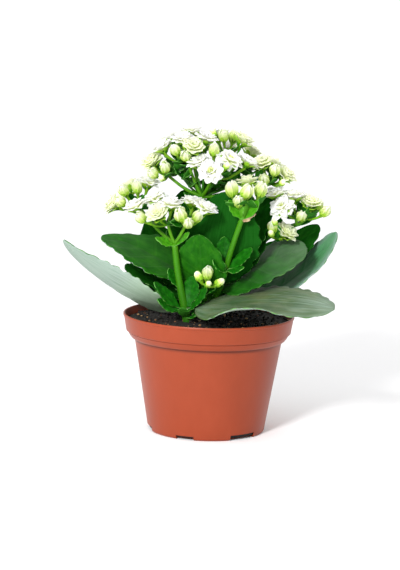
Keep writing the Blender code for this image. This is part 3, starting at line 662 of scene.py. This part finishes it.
# %% The leaf formula
CROWN_X = -2.0
CROWN_Y = 2.0
MAIN_STEM = [(CROWN_X, CROWN_Y, 64.3), (CROWN_X, CROWN_Y, 78), (CROWN_X, CROWN_Y, 102),
             (-2.5, 2.5, 122), (-4.5, 3, 145), (-7, 3, 164)]
MAIN_RADII = [5, 5, 4.5, 3.0, 2.5, 2.3]
LEFT_STEM = [(-15, -13, 64.3), (-15, -13, 78), (-17, -13, 88), (-22, -14, 111), (-25, -14, 133)]
LEFT_RADII = [3.2, 3.2, 3.0, 2.3, 2.1]
LEAF_THICK = 1.6
PETIOLE_HALF = 2.0
PETIOLE_SHARE = 0.10
BLUNT = 0.6
LOBE_LONG = 9.5
LOBE_DEEP = 4.2
RIB_DEPTH = 0.5
RIB_HALF = 1.6
RIPPLE = 0.35
QUILTING = -0.22
NEARLY_STRAIGHT = 1e-4
PLAIN_FOOT = 0.2
SUNK = 0.03


def leaf_width(along, leaf):
    """Half the leaf's width at a share of its length, and how full the blade is there."""
    petiole = leaf.get("petiole", PETIOLE_SHARE)
    share = min(max((along - petiole) / (1 - petiole), 0.0), 1.0)
    swell = math.sin(math.pi * share**0.92) ** leaf.get("blunt", BLUNT) if 0 < share < 1 else 0.0
    return max(leaf["wide"] / 2 * swell, PETIOLE_HALF * (1 - share)), swell


def leaf_point(leaf, along, across):
    """A point of a leaf's middle surface. Along runs from root to tip, across from -1 to 1."""
    turn = math.radians(leaf["turn"])
    rise = math.radians(leaf["rise"])
    bend = math.radians(leaf["end_rise"]) - rise
    bend = bend if abs(bend) > NEARLY_STRAIGHT else NEARLY_STRAIGHT
    slope = rise + bend * along
    out = leaf["long"] * (math.sin(slope) - math.sin(rise)) / bend
    up = -leaf["long"] * (math.cos(slope) - math.cos(rise)) / bend
    middle = Vector(leaf["root"]) + Vector((out * math.cos(turn), out * math.sin(turn), up))
    half, swell = leaf_width(along, leaf)
    roll = math.radians(leaf["roll"]) * min(max(along, 0) / leaf.get("petiole", PETIOLE_SHARE), 1.0)
    flat = Vector((-math.sin(turn), math.cos(turn), 0))
    face = Vector((-math.sin(slope) * math.cos(turn), -math.sin(slope) * math.sin(turn), math.cos(slope)))
    sideways = flat * math.cos(roll) + face * math.sin(roll)
    upwards = face * math.cos(roll) - flat * math.sin(roll)
    curl = leaf["cup"] / 1000 if abs(leaf["cup"]) > 0.01 else 1e-5
    reach = across * half
    wave = leaf["wave_left"] if across > 0 else leaf["wave_right"]
    lift = wave * across**2 * swell * math.cos(2 * math.pi * (along - leaf["wave_at"]))
    lift -= RIB_DEPTH * swell * math.exp(-((reach / RIB_HALF) ** 2))
    lift += RIPPLE * swell * across**2 * math.sin(25 * along + 2 * across)
    veins = math.cos(2 * math.pi * VEIN_PAIRS * (along - 0.25 * abs(across)))
    lift += leaf.get("quilted", QUILTING) * swell * veins
    rounding = (1 - math.cos(curl * reach)) / curl
    return middle + sideways * (math.sin(curl * reach) / curl) + upwards * (rounding + lift)


def scallop(along, across, lobes, depth):
    """How far the edge is drawn in: rounded lobes that lean toward the tip, with notches between them."""
    if along < PLAIN_FOOT:
        return 1.0
    phase = (along * lobes) % 1.0
    bite = 1 - math.sin(math.pi * phase**1.5) ** 0.6
    return 1 - depth * bite * abs(across) ** 8


def leaf_sheet(bm, leaf, rows, columns):
    """Adds one leaf to a bmesh: a grid that the leaf formula bends, with its UV map."""
    lobes = max(round(leaf["long"] / leaf.get("lobe_long", LOBE_LONG)), 4)
    depth = leaf.get("lobe_deep", LOBE_DEEP) / leaf["wide"] * 2
    grid = bmesh.ops.create_grid(bm, x_segments=rows, y_segments=columns, size=1.0, calc_uvs=True)["verts"]
    for vert in grid:
        along = -SUNK + (1 + SUNK) * (vert.co.x + 1) / 2
        across = math.sin(vert.co.y * math.pi / 2) * scallop(along, vert.co.y, lobes, depth)
        vert.co = leaf_point(leaf, along, across)


# %% [markdown]
# The large leaves grow from the two stems, most of them in opposite pairs. Each line
# gives a leaf's height on its stem, its direction seen from above (0 is right, 90 is
# back, 180 left, 270 front), its rise at the root and at the tip, its length and
# width, its roll, and how strongly it is cupped. Where three more numbers follow, they
# are the waves of its left and right edge, and where along the leaf they stand.

# %% The large leaves
def large(z, turn, rise, end_rise, long, wide, roll, cup, left=0.0, right=0.0, wave_at=0.5, **more):
    """A large leaf's numbers by name. More can change its petiole and tip, or move it to the left stem."""
    return dict(z=z, turn=turn, rise=rise, end_rise=end_rise, long=long, wide=wide, roll=roll, cup=cup,
                wave_left=left, wave_right=right, wave_at=wave_at, **more)


LARGE_LEAVES = {
    "leaf_left_low": large(83.0, 185, 3, 52, 111, 50, 24, 18, -1, -4, 0.2, blunt=0.8),
    "leaf_left_dark": large(88.7, 151, 16, 24, 65, 43, 1, 3, 2, 0, 0.6),
    "leaf_left_high": large(98.5, 160, 39, 8, 83, 55, -12, 6, -2, 3, 0.4),
    "leaf_left_back": large(91, 126, 15, 60, 86, 42, 0, 3),
    "leaf_front_upright": large(91.7, 256, 62, 74, 53, 38, -8, 2),
    "leaf_middle_upright": large(98.5, 312, 72, 86, 73, 55, -55, 3),
    "leaf_right_behind": large(103, 25, 53, 60, 76, 42, 14, 3),
    "leaf_right_wide": large(96, 357, 40, 16, 73, 60, 22, 2, -4, 1, 0.6, petiole=0.08, blunt=0.5),
    "leaf_right_cupped": large(85.5, 13, 2, 61, 108, 56, 5, 12, -3, 0, 0.6),
    "leaf_right_front": large(88, 332, 15, -4, 111, 66, 12, 0, 0, 8, 0.55, petiole=0.055, on_left_stem=True),
    "leaf_right_back": large(90, 31, 26, 35, 101, 56, 2, 3),
    "leaf_right_inner": large(99.5, 14, 46, 54, 57, 36, 20, 3),
    "leaf_back_left": large(84, 125, 4, 40, 95, 43, 0, 8),
    "leaf_back_right": large(84, 68, 8, 44, 90, 41, 0, 8),
    "leaf_back_upright": large(99, 118, 56, 72, 74, 40, 0, 4),
}
LEAF_FINISHES = {
    "leaf_left_low": (leaf_fresh, leaf_under_pale),
    "leaf_left_high": (leaf_fresh, leaf_under_pale),
    "leaf_front_upright": (leaf_fresh, leaf_fresh),
    "leaf_right_wide": (leaf_painted_sheen, leaf_under),
    "leaf_right_front": (leaf_olive_wax_sheen, leaf_under_pale),
    "leaf_right_cupped": (leaf_streaked, leaf_under_pale),
}
# The leaves not listed take the deep finishes, whose darkness is partly painted shade.
OTHER_LEAVES = (leaf_deep_shaded, leaf_under_deep_shaded)


def stem_at(points, radii, height):
    """The centre and radius of a stem at a height."""
    for (low, high), (low_radius, high_radius) in zip(zip(points, points[1:]), zip(radii, radii[1:])):
        if low[2] <= height <= high[2]:
            share = (height - low[2]) / (high[2] - low[2])
            return Vector(low).lerp(Vector(high), share), low_radius + (high_radius - low_radius) * share
    raise ValueError(f"no stem at {height}")


def leaf_root(leaf):
    """Where a leaf's petiole meets its stem."""
    points, radii = (LEFT_STEM, LEFT_RADII) if leaf.get("on_left_stem") else (MAIN_STEM, MAIN_RADII)
    centre, radius = stem_at(points, radii, leaf["z"])
    turn = math.radians(leaf["turn"])
    clear = radius + GAP + LEAF_THICK / 2 * math.sin(math.radians(leaf["rise"]))
    return centre + Vector((math.cos(turn), math.sin(turn), 0)) * clear


# %% Bend, thicken and round the leaves
LEAF_ROWS = 84
LEAF_COLUMNS = 14
THIN_EDGE = 0.45


def thin_edge_group(target, rows, columns):
    """Makes a vertex group that is full along each leaf's middle and fades toward its edge."""
    group = target.vertex_groups.new(name="fullness")
    points_each = (rows + 1) * (columns + 1)
    for vert in target.data.vertices:
        column = vert.index % points_each // (rows + 1)
        aside = abs(2 * column / columns - 1)
        group.add([vert.index], 1 - aside**4, "REPLACE")


def make_leaves(name, leaves, finishes, rows, columns, thick, replaced=()):
    """A piece of one or more leaves: bent sheets, made thick, with one smoothing step that rounds the edges.

    The finishes are those of the upper face, the underside and the edge.
    """
    bm = bmesh.new()
    bm.loops.layers.uv.new("leaf")
    for leaf in leaves:
        leaf_sheet(bm, leaf, rows, columns)
    made = new_piece(name, bm, finishes, replaced)
    thin_edge_group(made, rows, columns)
    solid = add_thickness(made, thick, "fullness", THIN_EDGE)
    solid.material_offset = 1
    solid.material_offset_rim = 2
    smooth = made.modifiers.new("Rounding", "SUBSURF")
    smooth.levels = 1
    smooth.render_levels = 1


for name, leaf in LARGE_LEAVES.items():
    leaf["root"] = leaf_root(leaf)
    upper, lower = LEAF_FINISHES.get(name, OTHER_LEAVES)
    skins = [upper, lower, leaf_edge]
    make_leaves(name + "_blade", [leaf], skins, LEAF_ROWS, LEAF_COLUMNS, LEAF_THICK, [name])

# %% [markdown]
# Stems, twigs and flower stalks are all limbs: a circle that is drawn out from point
# to point along a smooth route, growing thicker or thinner on the way. A few points
# give each route, and a curve through them gives the rest. A curve object with a bevel
# could make it too, but here the "youth" number is written on each ring as it is made.

# %% Draw out a limb
STATIONS = 5


def bmesh_with(layer):
    """An empty bmesh whose points carry a number by this name."""
    bm = bmesh.new()
    bm.verts.layers.float.new(layer)
    return bm


def smooth_route(points, radii):
    """A curve through the points, with the radius at each new point."""
    centres = [Vector(point) for point in points]
    route = []
    for index in range(len(centres) - 1):
        before = centres[max(index - 1, 0)]
        after = centres[min(index + 2, len(centres) - 1)]
        start, end = centres[index], centres[index + 1]
        for step in range(STATIONS):
            t = step / STATIONS
            leave = (end - before) * 0.5
            arrive = (after - start) * 0.5
            spot = ((2 * t**3 - 3 * t**2 + 1) * start + (t**3 - 2 * t**2 + t) * leave
                    + (3 * t**2 - 2 * t**3) * end + (t**3 - t**2) * arrive)
            route.append((spot, radii[index] + (radii[index + 1] - radii[index]) * t))
    route.append((centres[-1], radii[-1]))
    return route


def limb(bm, points, radii, sides, youth_from, youth_to):
    """Adds a round limb: one circle, extruded from station to station of a smooth route."""
    youth_layer = bm.verts.layers.float.get("youth")
    route = smooth_route(points, radii)
    facing = (route[1][0] - route[0][0]).orthogonal().normalized()
    ring = bmesh.ops.create_circle(bm, cap_ends=True, radius=1.0, segments=sides)["verts"]
    edges = list(dict.fromkeys(edge for vert in ring for edge in vert.link_edges))
    last = Matrix.Identity(4)
    for index, (centre, radius) in enumerate(route):
        before = route[max(index - 1, 0)][0]
        after = route[min(index + 1, len(route) - 1)][0]
        ahead = (after - before).normalized()
        facing = (facing - ahead * facing.dot(ahead)).normalized()
        other = ahead.cross(facing)
        station = Matrix((facing * radius, other * radius, ahead)).transposed().to_4x4()
        station.translation = centre
        if index:
            drawn = bmesh.ops.extrude_edge_only(bm, edges=edges)["geom"]
            ring = [item for item in drawn if isinstance(item, bmesh.types.BMVert)]
            edges = [item for item in drawn if isinstance(item, bmesh.types.BMEdge)]
        bmesh.ops.transform(bm, matrix=station @ last.inverted(), verts=ring)
        share = index / (len(route) - 1)
        for vert in ring:
            vert[youth_layer] = youth_from + (youth_to - youth_from) * share
        last = station
    bmesh.ops.contextual_create(bm, geom=edges)


# %% [markdown]
# A flower bud is a plump closed cone of folded petals, green where it leaves its
# calyx and cream at its tip. It starts as a ball that is stretched, narrowed toward
# the tip, and pinched into twisting folds.

# %% Shape a bud
BUD_FOLDS = 5
FOLD_DEEP = 0.3
BUD_TALL = 3.1
BUD_WHITEST = 0.9


def stand_on(place, axis):
    """The transform that stands an upright shape on a place, along an axis."""
    return Matrix.Translation(place) @ axis.to_track_quat("Z", "Y").to_matrix().to_4x4()


def bud(bm, seat, axis, radius, spin):
    """Adds a closed bud on its seat."""
    white_layer = bm.verts.layers.float.get("white")
    ball = bmesh.ops.create_uvsphere(bm, u_segments=30, v_segments=12, radius=1.0)["verts"]
    for vert in ball:
        height = (vert.co.z + 1) / 2
        angle = math.atan2(vert.co.y, vert.co.x)
        fold = 1 + FOLD_DEEP * height * (abs(math.cos(BUD_FOLDS / 2 * angle + 2 * height + spin)) - 0.6)
        slim = (0.9 + 0.1 * height) * fold * radius
        vert.co = Vector((vert.co.x * slim, vert.co.y * slim, height * BUD_TALL * radius))
        vert[white_layer] = min(max(height * 1.1 - 0.1, 0.0), BUD_WHITEST)
    bmesh.ops.transform(bm, matrix=stand_on(seat, axis), verts=ball)


# %% [markdown]
# Petals and sepals are thin sheets with a narrow foot, a full middle and a pointed
# tip. An open flower has five layers of petals: the outer ones lie nearly flat, and
# each layer inside stands steeper and shorter, down to a tuft over the yellow-green
# heart. A young flower is the same one with its layers closed up and a greener white.
# Each petal differs a little from its neighbours, as real ones do.

# %% Petals, sepals and whole flowers
BLOOM_SEAT = 5.5
CLOSED_RISE = 55
STEEPEST = 86
YOUNG_BELOW = 0.5
YOUNG_WHITENESS = 0.62
BUD_PETALS = 7
BLOOM_LAYERS = [
    # petals, foot radius, foot height, length, width, rise, droop at the tip, whiteness
    (9, 1.3, 2.4, 8.9, 5.7, 16, -12, 1.0),
    (8, 1.2, 3.0, 8.3, 5.6, 32, -16, 1.0),
    (8, 1.1, 3.4, 7.2, 5.0, 48, -14, 1.0),
    (7, 0.9, 3.6, 5.8, 4.3, 62, -6, 0.95),
    (6, 0.8, 3.6, 3.8, 2.6, 74, 6, 0.34),
]


def petal(
    bm, layer, stand, foot_radius, foot_height, long, wide, rise, droop, turn, full, cup=0.25, fade=1.8
):
    """Adds one petal or sepal, laid out from its axis. The number on its points runs up to full."""
    sheet = bmesh.ops.create_grid(bm, x_segments=6, y_segments=2, size=1.0)["verts"]
    rise = math.radians(rise)
    bend = math.radians(droop)
    for vert in sheet:
        along = (vert.co.x + 1) / 2
        slope = rise + bend * along
        half = wide / 2 * max(math.sin(math.pi * (along * 0.95 + 0.03) ** 1.35), 0.03) ** 0.7
        aside = vert.co.y * half
        lift = cup * vert.co.y**2 * half
        out = foot_radius + long * along * math.cos(slope) - lift * math.sin(slope)
        up = foot_height + long * along * math.sin(slope) + lift * math.cos(slope)
        vert[layer] = full * min(along * fade, 1.0)
        vert.co = Vector((out, aside, up))
    bmesh.ops.transform(bm, matrix=stand @ Matrix.Rotation(turn, 4, "Z"), verts=sheet)


def wrapping(bm, seat, axis, radius, spin, chance):
    """Adds the upright petals that are wrapped round a larger bud."""
    layer = bm.verts.layers.float.get("white")
    stand = stand_on(seat, axis)
    for index in range(BUD_PETALS):
        turn = spin + 2 * math.pi * index / BUD_PETALS
        long = radius * chance.uniform(2.8, 3.3)
        rise = 66 + chance.uniform(-3, 3)
        droop = 34 + chance.uniform(-9, 7)
        petal(bm, layer, stand, radius * 0.7, radius * 0.15, long, radius * 1.15, rise, droop, turn,
              1.0, -0.35, 1.05)


def open_flower(bm, place, axis, opened, spin, chance):
    """Adds a double flower: five layers of petals, steeper and shorter toward the heart."""
    layer = bm.verts.layers.float.get("white")
    stand = stand_on(place - axis * BLOOM_SEAT, axis)
    steeper = (1 - opened) * CLOSED_RISE
    paler = YOUNG_WHITENESS if opened < YOUNG_BELOW else 1.0
    for number, (count, radius, height, long, wide, rise, droop, whiteness) in enumerate(BLOOM_LAYERS):
        for index in range(count):
            turn = spin + number * 0.3 + 2 * math.pi * (index + chance.uniform(-0.15, 0.15)) / count
            size = chance.uniform(0.9, 1.04)
            up = min(rise + steeper, STEEPEST) + chance.uniform(-7, 7)
            down = droop + chance.uniform(-14, 10)
            cup = chance.uniform(0.05, 0.45)
            petal(bm, layer, stand, radius, height, long * size, wide, up, down, turn,
                  whiteness * paler, cup, 1.4)


def sepals(bm, seat, axis, count, long, wide, rise, droop, spin, foot_radius):
    """Adds the green pointed leaves of a calyx."""
    layer = bm.verts.layers.float.get("youth")
    for index in range(count):
        turn = spin + 2 * math.pi * index / count
        petal(bm, layer, stand_on(seat, axis), foot_radius, 0.0, long, wide, rise, droop, turn, 1.0)


# %% [markdown]
# The sprays are built from the same plan as the solids. A shoot carries forks, and
# each fork carries a bunch of flowers and buds on thin stalks. The tables give each
# fork's place, and for each flower its fork, its kind and the place of its middle. A
# "bloom" is open and faces out, a "side" flower is open and turned up, so that it is
# seen from the side, and a "half" flower is half open. The other kinds are buds.

# %% The plan of the sprays
OPENED = {"bloom": 0.95, "side": 0.7, "half": 0.45}
BUD_RADII = {"bud": 3.1, "big_bud": 3.7, "mid_bud": 2.8, "small_bud": 2.2}
TWIG_RADIUS = 1.1
PEDICEL_RADIUS = 0.75
CALYX_RADIUS = 2.6
WRAPPED_ABOVE = 3.0
FLOWER_LIFT = {"bloom": 0.35, "side": 1.1}
OTHER_LIFT = 0.5
FLOWER_LEAN = {"bloom": 0.4, "side": 0.05}
OTHER_LEAN = 0.2
FRONT_HALF_Y = 10

CENTRAL_FORKS = {"a": (-18, 2, 189), "b": (0, -7, 179), "c": (9, 12, 193), "d": (41, 8, 174),
                 "k": (-31, 6, 178), "back": (-14, 28, 186), "far": (16, 30, 183)}
CENTRAL_BUNCHES = [
    ("a", [("side", -36, 0, 199), ("side", -21, -4, 205), ("side", -5, -2, 206), ("side", -16, 12, 209),
           ("side", -31, 15, 203), ("bud", -26, -9, 197), ("half", -14, -10, 200),
           ("bud", -19, -10, 193)]),
    ("b", [("side", -10, -13, 190), ("bloom", -1.5, -22, 185), ("bloom", 12, -12, 193),
           ("side", 24, -4, 191), ("bud", 0.5, -11, 197), ("small_bud", 9, -20, 188)]),
    ("c", [("bud", 7, 6, 206), ("half", 21, 12, 204), ("bud", 14, 20, 204), ("small_bud", 0, 8, 208),
           ("side", 3, 22, 207)]),
    ("d", [("half", 34, 2, 189), ("bud", 43, -3, 184), ("half", 51, 4, 181), ("half", 41, 18, 186),
           ("bud", 36, -4, 178), ("small_bud", 48, -4, 176)]),
    ("k", [("half", -43, 1, 188), ("bud", -33, -5, 184), ("half", -42, 16, 188), ("bud", -41, -5, 180),
           ("small_bud", -35, -5, 177)]),
    ("back", [("side", -22, 36, 200), ("side", -6, 40, 198), ("bud", -16, 42, 192)]),
    ("far", [("side", 12, 40, 196), ("half", 27, 34, 194), ("bud", 22, 44, 186)]),
]
LEFT_FORKS = {"near": (-30, -15, 146), "side": (-18, -17, 146), "outer": (-50, 3, 155)}
LEFT_BUNCHES = [
    ("near", [("side", -53, -17, 159), ("bloom", -40, -13, 165), ("side", -28, -22, 162),
              ("half", -37, -27, 155), ("bud", -48, -23, 151)]),
    ("side", [("side", -13, -15, 163), ("side", -4, -25, 160), ("big_bud", -21, -28, 154),
              ("bud", -10, -25, 153), ("bud", -16, -28, 149)]),
    ("outer", [("side", -45, 3, 174), ("half", -69, 0, 158), ("bud", -52, -1, 169), ("bud", -61, -3, 167),
               ("bud", -63, -8, 160), ("half", -58, 17, 168)]),
]
FRONT_FORKS = {"left": (18, -19, 160), "right": (27, -18, 160)}
FRONT_BUNCHES = [
    ("left", [("big_bud", 13.5, -19, 171), ("big_bud", 23, -24, 170.5), ("bud", 18, -25, 164)]),
    ("right", [("big_bud", 33, -18, 171), ("half", 24, -11, 177)]),
]
RIGHT_FORKS = {"g": (59, 5, 150), "h": (46, 6, 136), "outer": (66, 7, 150)}
RIGHT_BUNCHES = [
    ("g", [("bloom", 48, -6, 160), ("side", 44, 6, 168), ("side", 57, 3, 167), ("bud", 62, -4, 153),
           ("side", 58, 20, 164)]),
    ("outer", [("half", 69, 2, 162), ("bud", 78.5, 0, 156), ("bud", 74, 13, 158)]),
    ("h", [("half", 53, 2, 141), ("bud", 43, 0, 144), ("small_bud", 42, -2, 140),
           ("small_bud", 44, -2.5, 148)]),
]
BUD_BUNCHES = [
    ("end", [("bud", -2, -22, 113), ("mid_bud", -7.5, -21, 111), ("mid_bud", 6, -22, 107.5),
             ("small_bud", -1, -26, 107)]),
]


# %% The small leaves on the shoots
SMALL_BEND = 15
SMALL_CUP = 30.0


def small(x, y, z, turn, rise, long, wide, roll=0.0):
    """A small leaf on a shoot, with finer lobes. Its waves follow from its width and direction."""
    return dict(root=(x, y, z), turn=turn, rise=rise, end_rise=rise + SMALL_BEND, long=long, wide=wide,
                roll=roll, cup=SMALL_CUP, wave_left=wide * 0.08, wave_right=-wide * 0.06,
                wave_at=turn % 50 / 50, petiole=0.12, lobe_long=4.0, lobe_deep=min(wide, 14) * 0.13,
                quilted=-0.1)


# Each row gives a leaf's root, direction from above, rise, length and width, and its roll if it has one.
LEFT_SMALL = [
    (-19.5, -14, 88, 192, 36, 27, 13, -40), (-14, -16, 90, 62, 74, 21, 15),
    (-20, -13.5, 101, 160, 50, 17, 10, -20), (-15.5, -16, 86, 342, 44, 23, 13, 38),
    (-20, -15, 86, 205, 20, 20, 11, -40), (-14, -17, 82, 318, 16, 15, 10, 20),
    (-17, -17, 83, 262, 34, 11, 9), (-12, -13, 84, 20, 60, 20, 12, 25),
]
FRONT_SMALL = [
    (9.5, -15.5, 116, 100, 78, 23, 13), (12.5, -17, 117, 352, 36, 22, 13, 42),
    (9.5, -18.5, 115, 214, 34, 13, 10, -42), (12, -17.5, 116, 325, 6, 14, 9, 35),
    (8.5, -14.5, 109, 238, 64, 16, 11),
]
RIGHT_SMALL = [(59, 9, 145, 20, 20, 18, 7, 30), (47, 23, 137.5, 80, 50, 14, 7)]
MAIN_SMALL = [(-6.5, 3, 160, 200, 20, 16, 7, -35), (-6.5, 3, 160, 20, 15, 18, 7, 35)]
BUD_SMALL = [(-3, -17, 99, 345, 30, 10, 6, 30)]
LEFT_BRACTS = [(-25, -14, 132, 195, 14, 15, 8, -40), (-25, -14, 132, 345, 36, 14, 7, 40)]
FRONT_BRACTS = [
    (21.5, -19, 152, 195, 44, 17, 9, -65), (21.5, -19, 152, 345, 44, 17, 9, 65),
    (21, -19.5, 152, 235, 66, 14, 8, -25), (22, -19.5, 152, 305, 66, 14, 8, 25),
    (21.5, -18, 152, 90, 60, 15, 9),
]

# %% [markdown]
# Side shoots leave the main stem low down, between its leaves. Each starts at the
# stem's skin, in a direction given from above, and then follows its own points. The
# table of shoots gives each its points, radii, forks, flowers, small leaves and bracts.

# %% The side shoots
def side_shoot(height, turn, foot_radius, points):
    """The points of a side shoot, from the main stem's skin outwards."""
    centre, radius = stem_at(MAIN_STEM, MAIN_RADII, height)
    outwards = Vector((math.cos(math.radians(turn)), math.sin(math.radians(turn)), 0))
    start = centre + outwards * (radius + GAP + 0.72 * foot_radius)
    return [start - outwards * 2, start, start + outwards * 1.8 + Vector((0, 0, 1.8))] + points


SHOOTS = {
    "main_stem": (MAIN_STEM, MAIN_RADII, CENTRAL_FORKS, CENTRAL_BUNCHES, MAIN_SMALL, []),
    "left_shoot": (LEFT_STEM, LEFT_RADII, LEFT_FORKS, LEFT_BUNCHES, LEFT_SMALL, LEFT_BRACTS),
    "front_shoot": (
        side_shoot(87.5, 318, 1.7, [(5, -6, 97), (9, -14, 109), (14, -18, 130), (21.5, -19, 154)]),
        [1.7, 1.7, 2.0, 2.2, 2.1, 1.9, 1.8], FRONT_FORKS, FRONT_BUNCHES, FRONT_SMALL, FRONT_BRACTS),
    "right_shoot": (
        side_shoot(95, 45, 1.6, [(8, 15, 101), (23, 31, 116), (42, 31, 134), (52, 20, 141), (60, 8, 146)]),
        [1.6, 1.6, 1.8, 1.9, 1.8, 1.7, 1.7, 1.6], RIGHT_FORKS, RIGHT_BUNCHES, RIGHT_SMALL, []),
    "bud_shoot": (side_shoot(86, 263, 1.3, [(-3.5, -7.5, 92), (-3, -13.5, 99.5), (-2.5, -20.5, 105.5)]),
                  [1.3, 1.3, 1.4, 1.6, 1.5, 1.3], {}, BUD_BUNCHES, BUD_SMALL, []),
}

# %% [markdown]
# The space under the top flowers is a dark mass of narrow leaves and thin bare twigs.
# Its parts can't be told apart in the photograph, so a rule places them: some stand
# round each fork, and some at a few more places under the middle of the spray.

# %% Build each spray
BRACTS_PER_FORK = 5
BRACT_SHARE = 0.58
TWIG_SAG = 0.06
THIN_TWIG_RADII = [0.9, 0.8, 0.7]
PETAL_THICK = 0.3
SEPAL_THICK = 0.35
PETAL_SHARP = 50
THIN_TWIGS = [
    (-29, 12, 197), (-15, 10, 203), (-5, 0, 200), (3, 19, 201), (19, 10, 198), (-38, 13, 183), (32, 4, 184),
    (12, 18, 178), (27, 20, 182), (-24, 18, 180),
]
LEAFY_PLACES = [
    (-20, 4, 176), (-27, 5, 180), (-15, 2, 185), (-24, 8, 187), (14, 3, 173), (24, 5, 172), (30, 7, 178),
    (12, 18, 178), (27, 20, 182), (-24, 18, 180), (3, 11, 169), (10, 12, 171), (-15, 11, 170),
]


def flower_axis(fork, place, kind):
    """The way a flower faces: away from its fork, and up, or for an open bloom at the front, outwards."""
    lift = FLOWER_LIFT.get(kind, OTHER_LIFT)
    lean = FLOWER_LEAN.get(kind, OTHER_LEAN) if place.y < FRONT_HALF_Y else 0.0
    return ((place - fork).normalized() + Vector((0, -lean, lift))).normalized()


def pedicel_route(fork, seat, axis):
    """Three points from the fork to just under the seat, ending along the flower's axis."""
    reach = (seat - fork).length
    middle = fork.lerp(seat - axis * reach * 0.45, 0.6)
    return [fork, middle, seat - axis * 1.8]


def fork_bracts(fork, chance):
    """The narrow dark leaves that stand round a fork, under its flowers, each drawn by chance."""
    bracts = []
    for index in range(BRACTS_PER_FORK):
        turn = 360 / BRACTS_PER_FORK * (index + chance.uniform(-0.3, 0.3))
        long = chance.uniform(10, 15)
        rise = chance.uniform(0, 50)
        roll = chance.uniform(-40, 40)
        bracts.append(small(*fork, turn, rise, long, long * BRACT_SHARE, roll))
    return bracts


def thin_piece(name, bm, finish, millimetres, replaced=()):
    """A piece of thin sheets, such as petals, each with its own hard edge."""
    made = new_piece(name, bm, [finish], replaced)
    add_thickness(made, millimetres)
    keep_shape(made, PETAL_SHARP)


def stalk(limbs, fork, seat, axis, into_seat, thicker, end_radius):
    """Adds a flower's stalk, from its fork up into its calyx, where it ends thicker."""
    route = pedicel_route(fork, seat, axis) + [seat + axis * into_seat]
    radii = [PEDICEL_RADIUS, PEDICEL_RADIUS, PEDICEL_RADIUS + thicker, end_radius]
    limb(limbs, route, radii, 8, 0.65, 0.95)


def make_spray(name, points, radii, forks, bunches, leaves, bracts, chance):
    """The pieces of a shoot: its limbs, calyxes, buds and open flowers, then its small leaves and bracts."""
    limbs, calyxes = (bmesh_with("youth") for _ in range(2))
    buds, wraps, blooms = (bmesh_with("white") for _ in range(3))
    limb(limbs, points, radii, 16, 0.0, 0.5)
    for fork in forks.values():
        start = min((Vector(point) for point in points), key=lambda point: (point - Vector(fork)).length)
        bend = start.lerp(Vector(fork), 0.5) - Vector((0, 0, (Vector(fork) - start).length * TWIG_SAG))
        limb(limbs, [start, bend, fork], [TWIG_RADIUS * 1.2, TWIG_RADIUS, TWIG_RADIUS], 10, 0.5, 0.7)
    if name == "main_stem":
        for end in THIN_TWIGS:
            bend = Vector(points[-1]).lerp(Vector(end), 0.5) - Vector((0, 0, 2))
            limb(limbs, [points[-1], bend, end], THIN_TWIG_RADII, 8, 0.1, 0.4)
    flowers = [(fork_name, *flower) for fork_name, bunch in bunches for flower in bunch]
    for fork_name, kind, *place in flowers:
        fork = Vector(forks.get(fork_name, points[-1]))
        place = Vector(place)
        axis = flower_axis(fork, place, kind)
        spin = chance.uniform(0, ANY_TURN)
        if kind in OPENED:
            seat = place - axis * (BLOOM_SEAT + GAP)
            stalk(limbs, fork, seat, axis, 1.2, 0.3, CALYX_RADIUS)
            sepals(calyxes, seat, axis, 6, 7.2, 3.8, 56, -16, spin, 1.9)
            open_flower(blooms, place, axis, OPENED[kind], spin, chance)
        else:
            radius = BUD_RADII[kind]
            wrapped = radius > WRAPPED_ABOVE
            seat = place - axis * radius * 1.2
            stalk(limbs, fork, seat, axis, 0.4 * radius, 0.2, radius * 0.8)
            sepals(calyxes, seat, axis, 4, radius * 1.6, radius, 35, 34, spin, radius * 0.4)
            bud(buds, seat, axis, radius * (0.8 if wrapped else 0.95), spin)
            if wrapped:
                wrapping(wraps, seat, axis, radius, spin, chance)
    new_piece(name + "_limbs", limbs, [stem_skin], [name])
    thin_piece(name + "_calyxes", calyxes, stem_skin, SEPAL_THICK)
    new_piece(name + "_buds", buds, [bud_skin])
    thin_piece(name + "_bud_petals", wraps, bud_skin, PETAL_THICK)
    heads = name.replace("shoot", "blooms").replace("main_stem", "middle_blooms")
    replaced = [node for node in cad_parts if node.startswith(heads)]
    if blooms.verts:
        thin_piece(heads, blooms, petal_skin, PETAL_THICK, replaced)
    young = [leaf_young, leaf_young_under, leaf_young_edge]
    make_leaves(name + "_leaves", [small(*row) for row in leaves], young, 28, 8, 1.0)
    if bracts:
        collar_skins = [bract_upper, bract_under, leaf_young_edge]
        make_leaves(name + "_collar", [small(*row) for row in bracts], collar_skins, 20, 6, 1.0)
    leafy = list(forks.values()) + (LEAFY_PLACES if name == "main_stem" else [])
    scattered = [leaf for fork in leafy for leaf in fork_bracts(fork, chance)]
    if scattered:
        make_leaves(name + "_bracts", scattered, young, 12, 4, 0.7)


spray_chance = random.Random(SEED + 1)
for name, shoot in SHOOTS.items():
    make_spray(name, *shoot, spray_chance)

withered = [small(22.5, -20.5, 152, 352, 22, 9, 3.4, 40), small(22, -21, 151.5, 335, 0, 5, 2.6, 50)]
make_leaves("front_shoot_withered_bract", withered, [dry_tissue] * 3, 12, 4, 0.5)
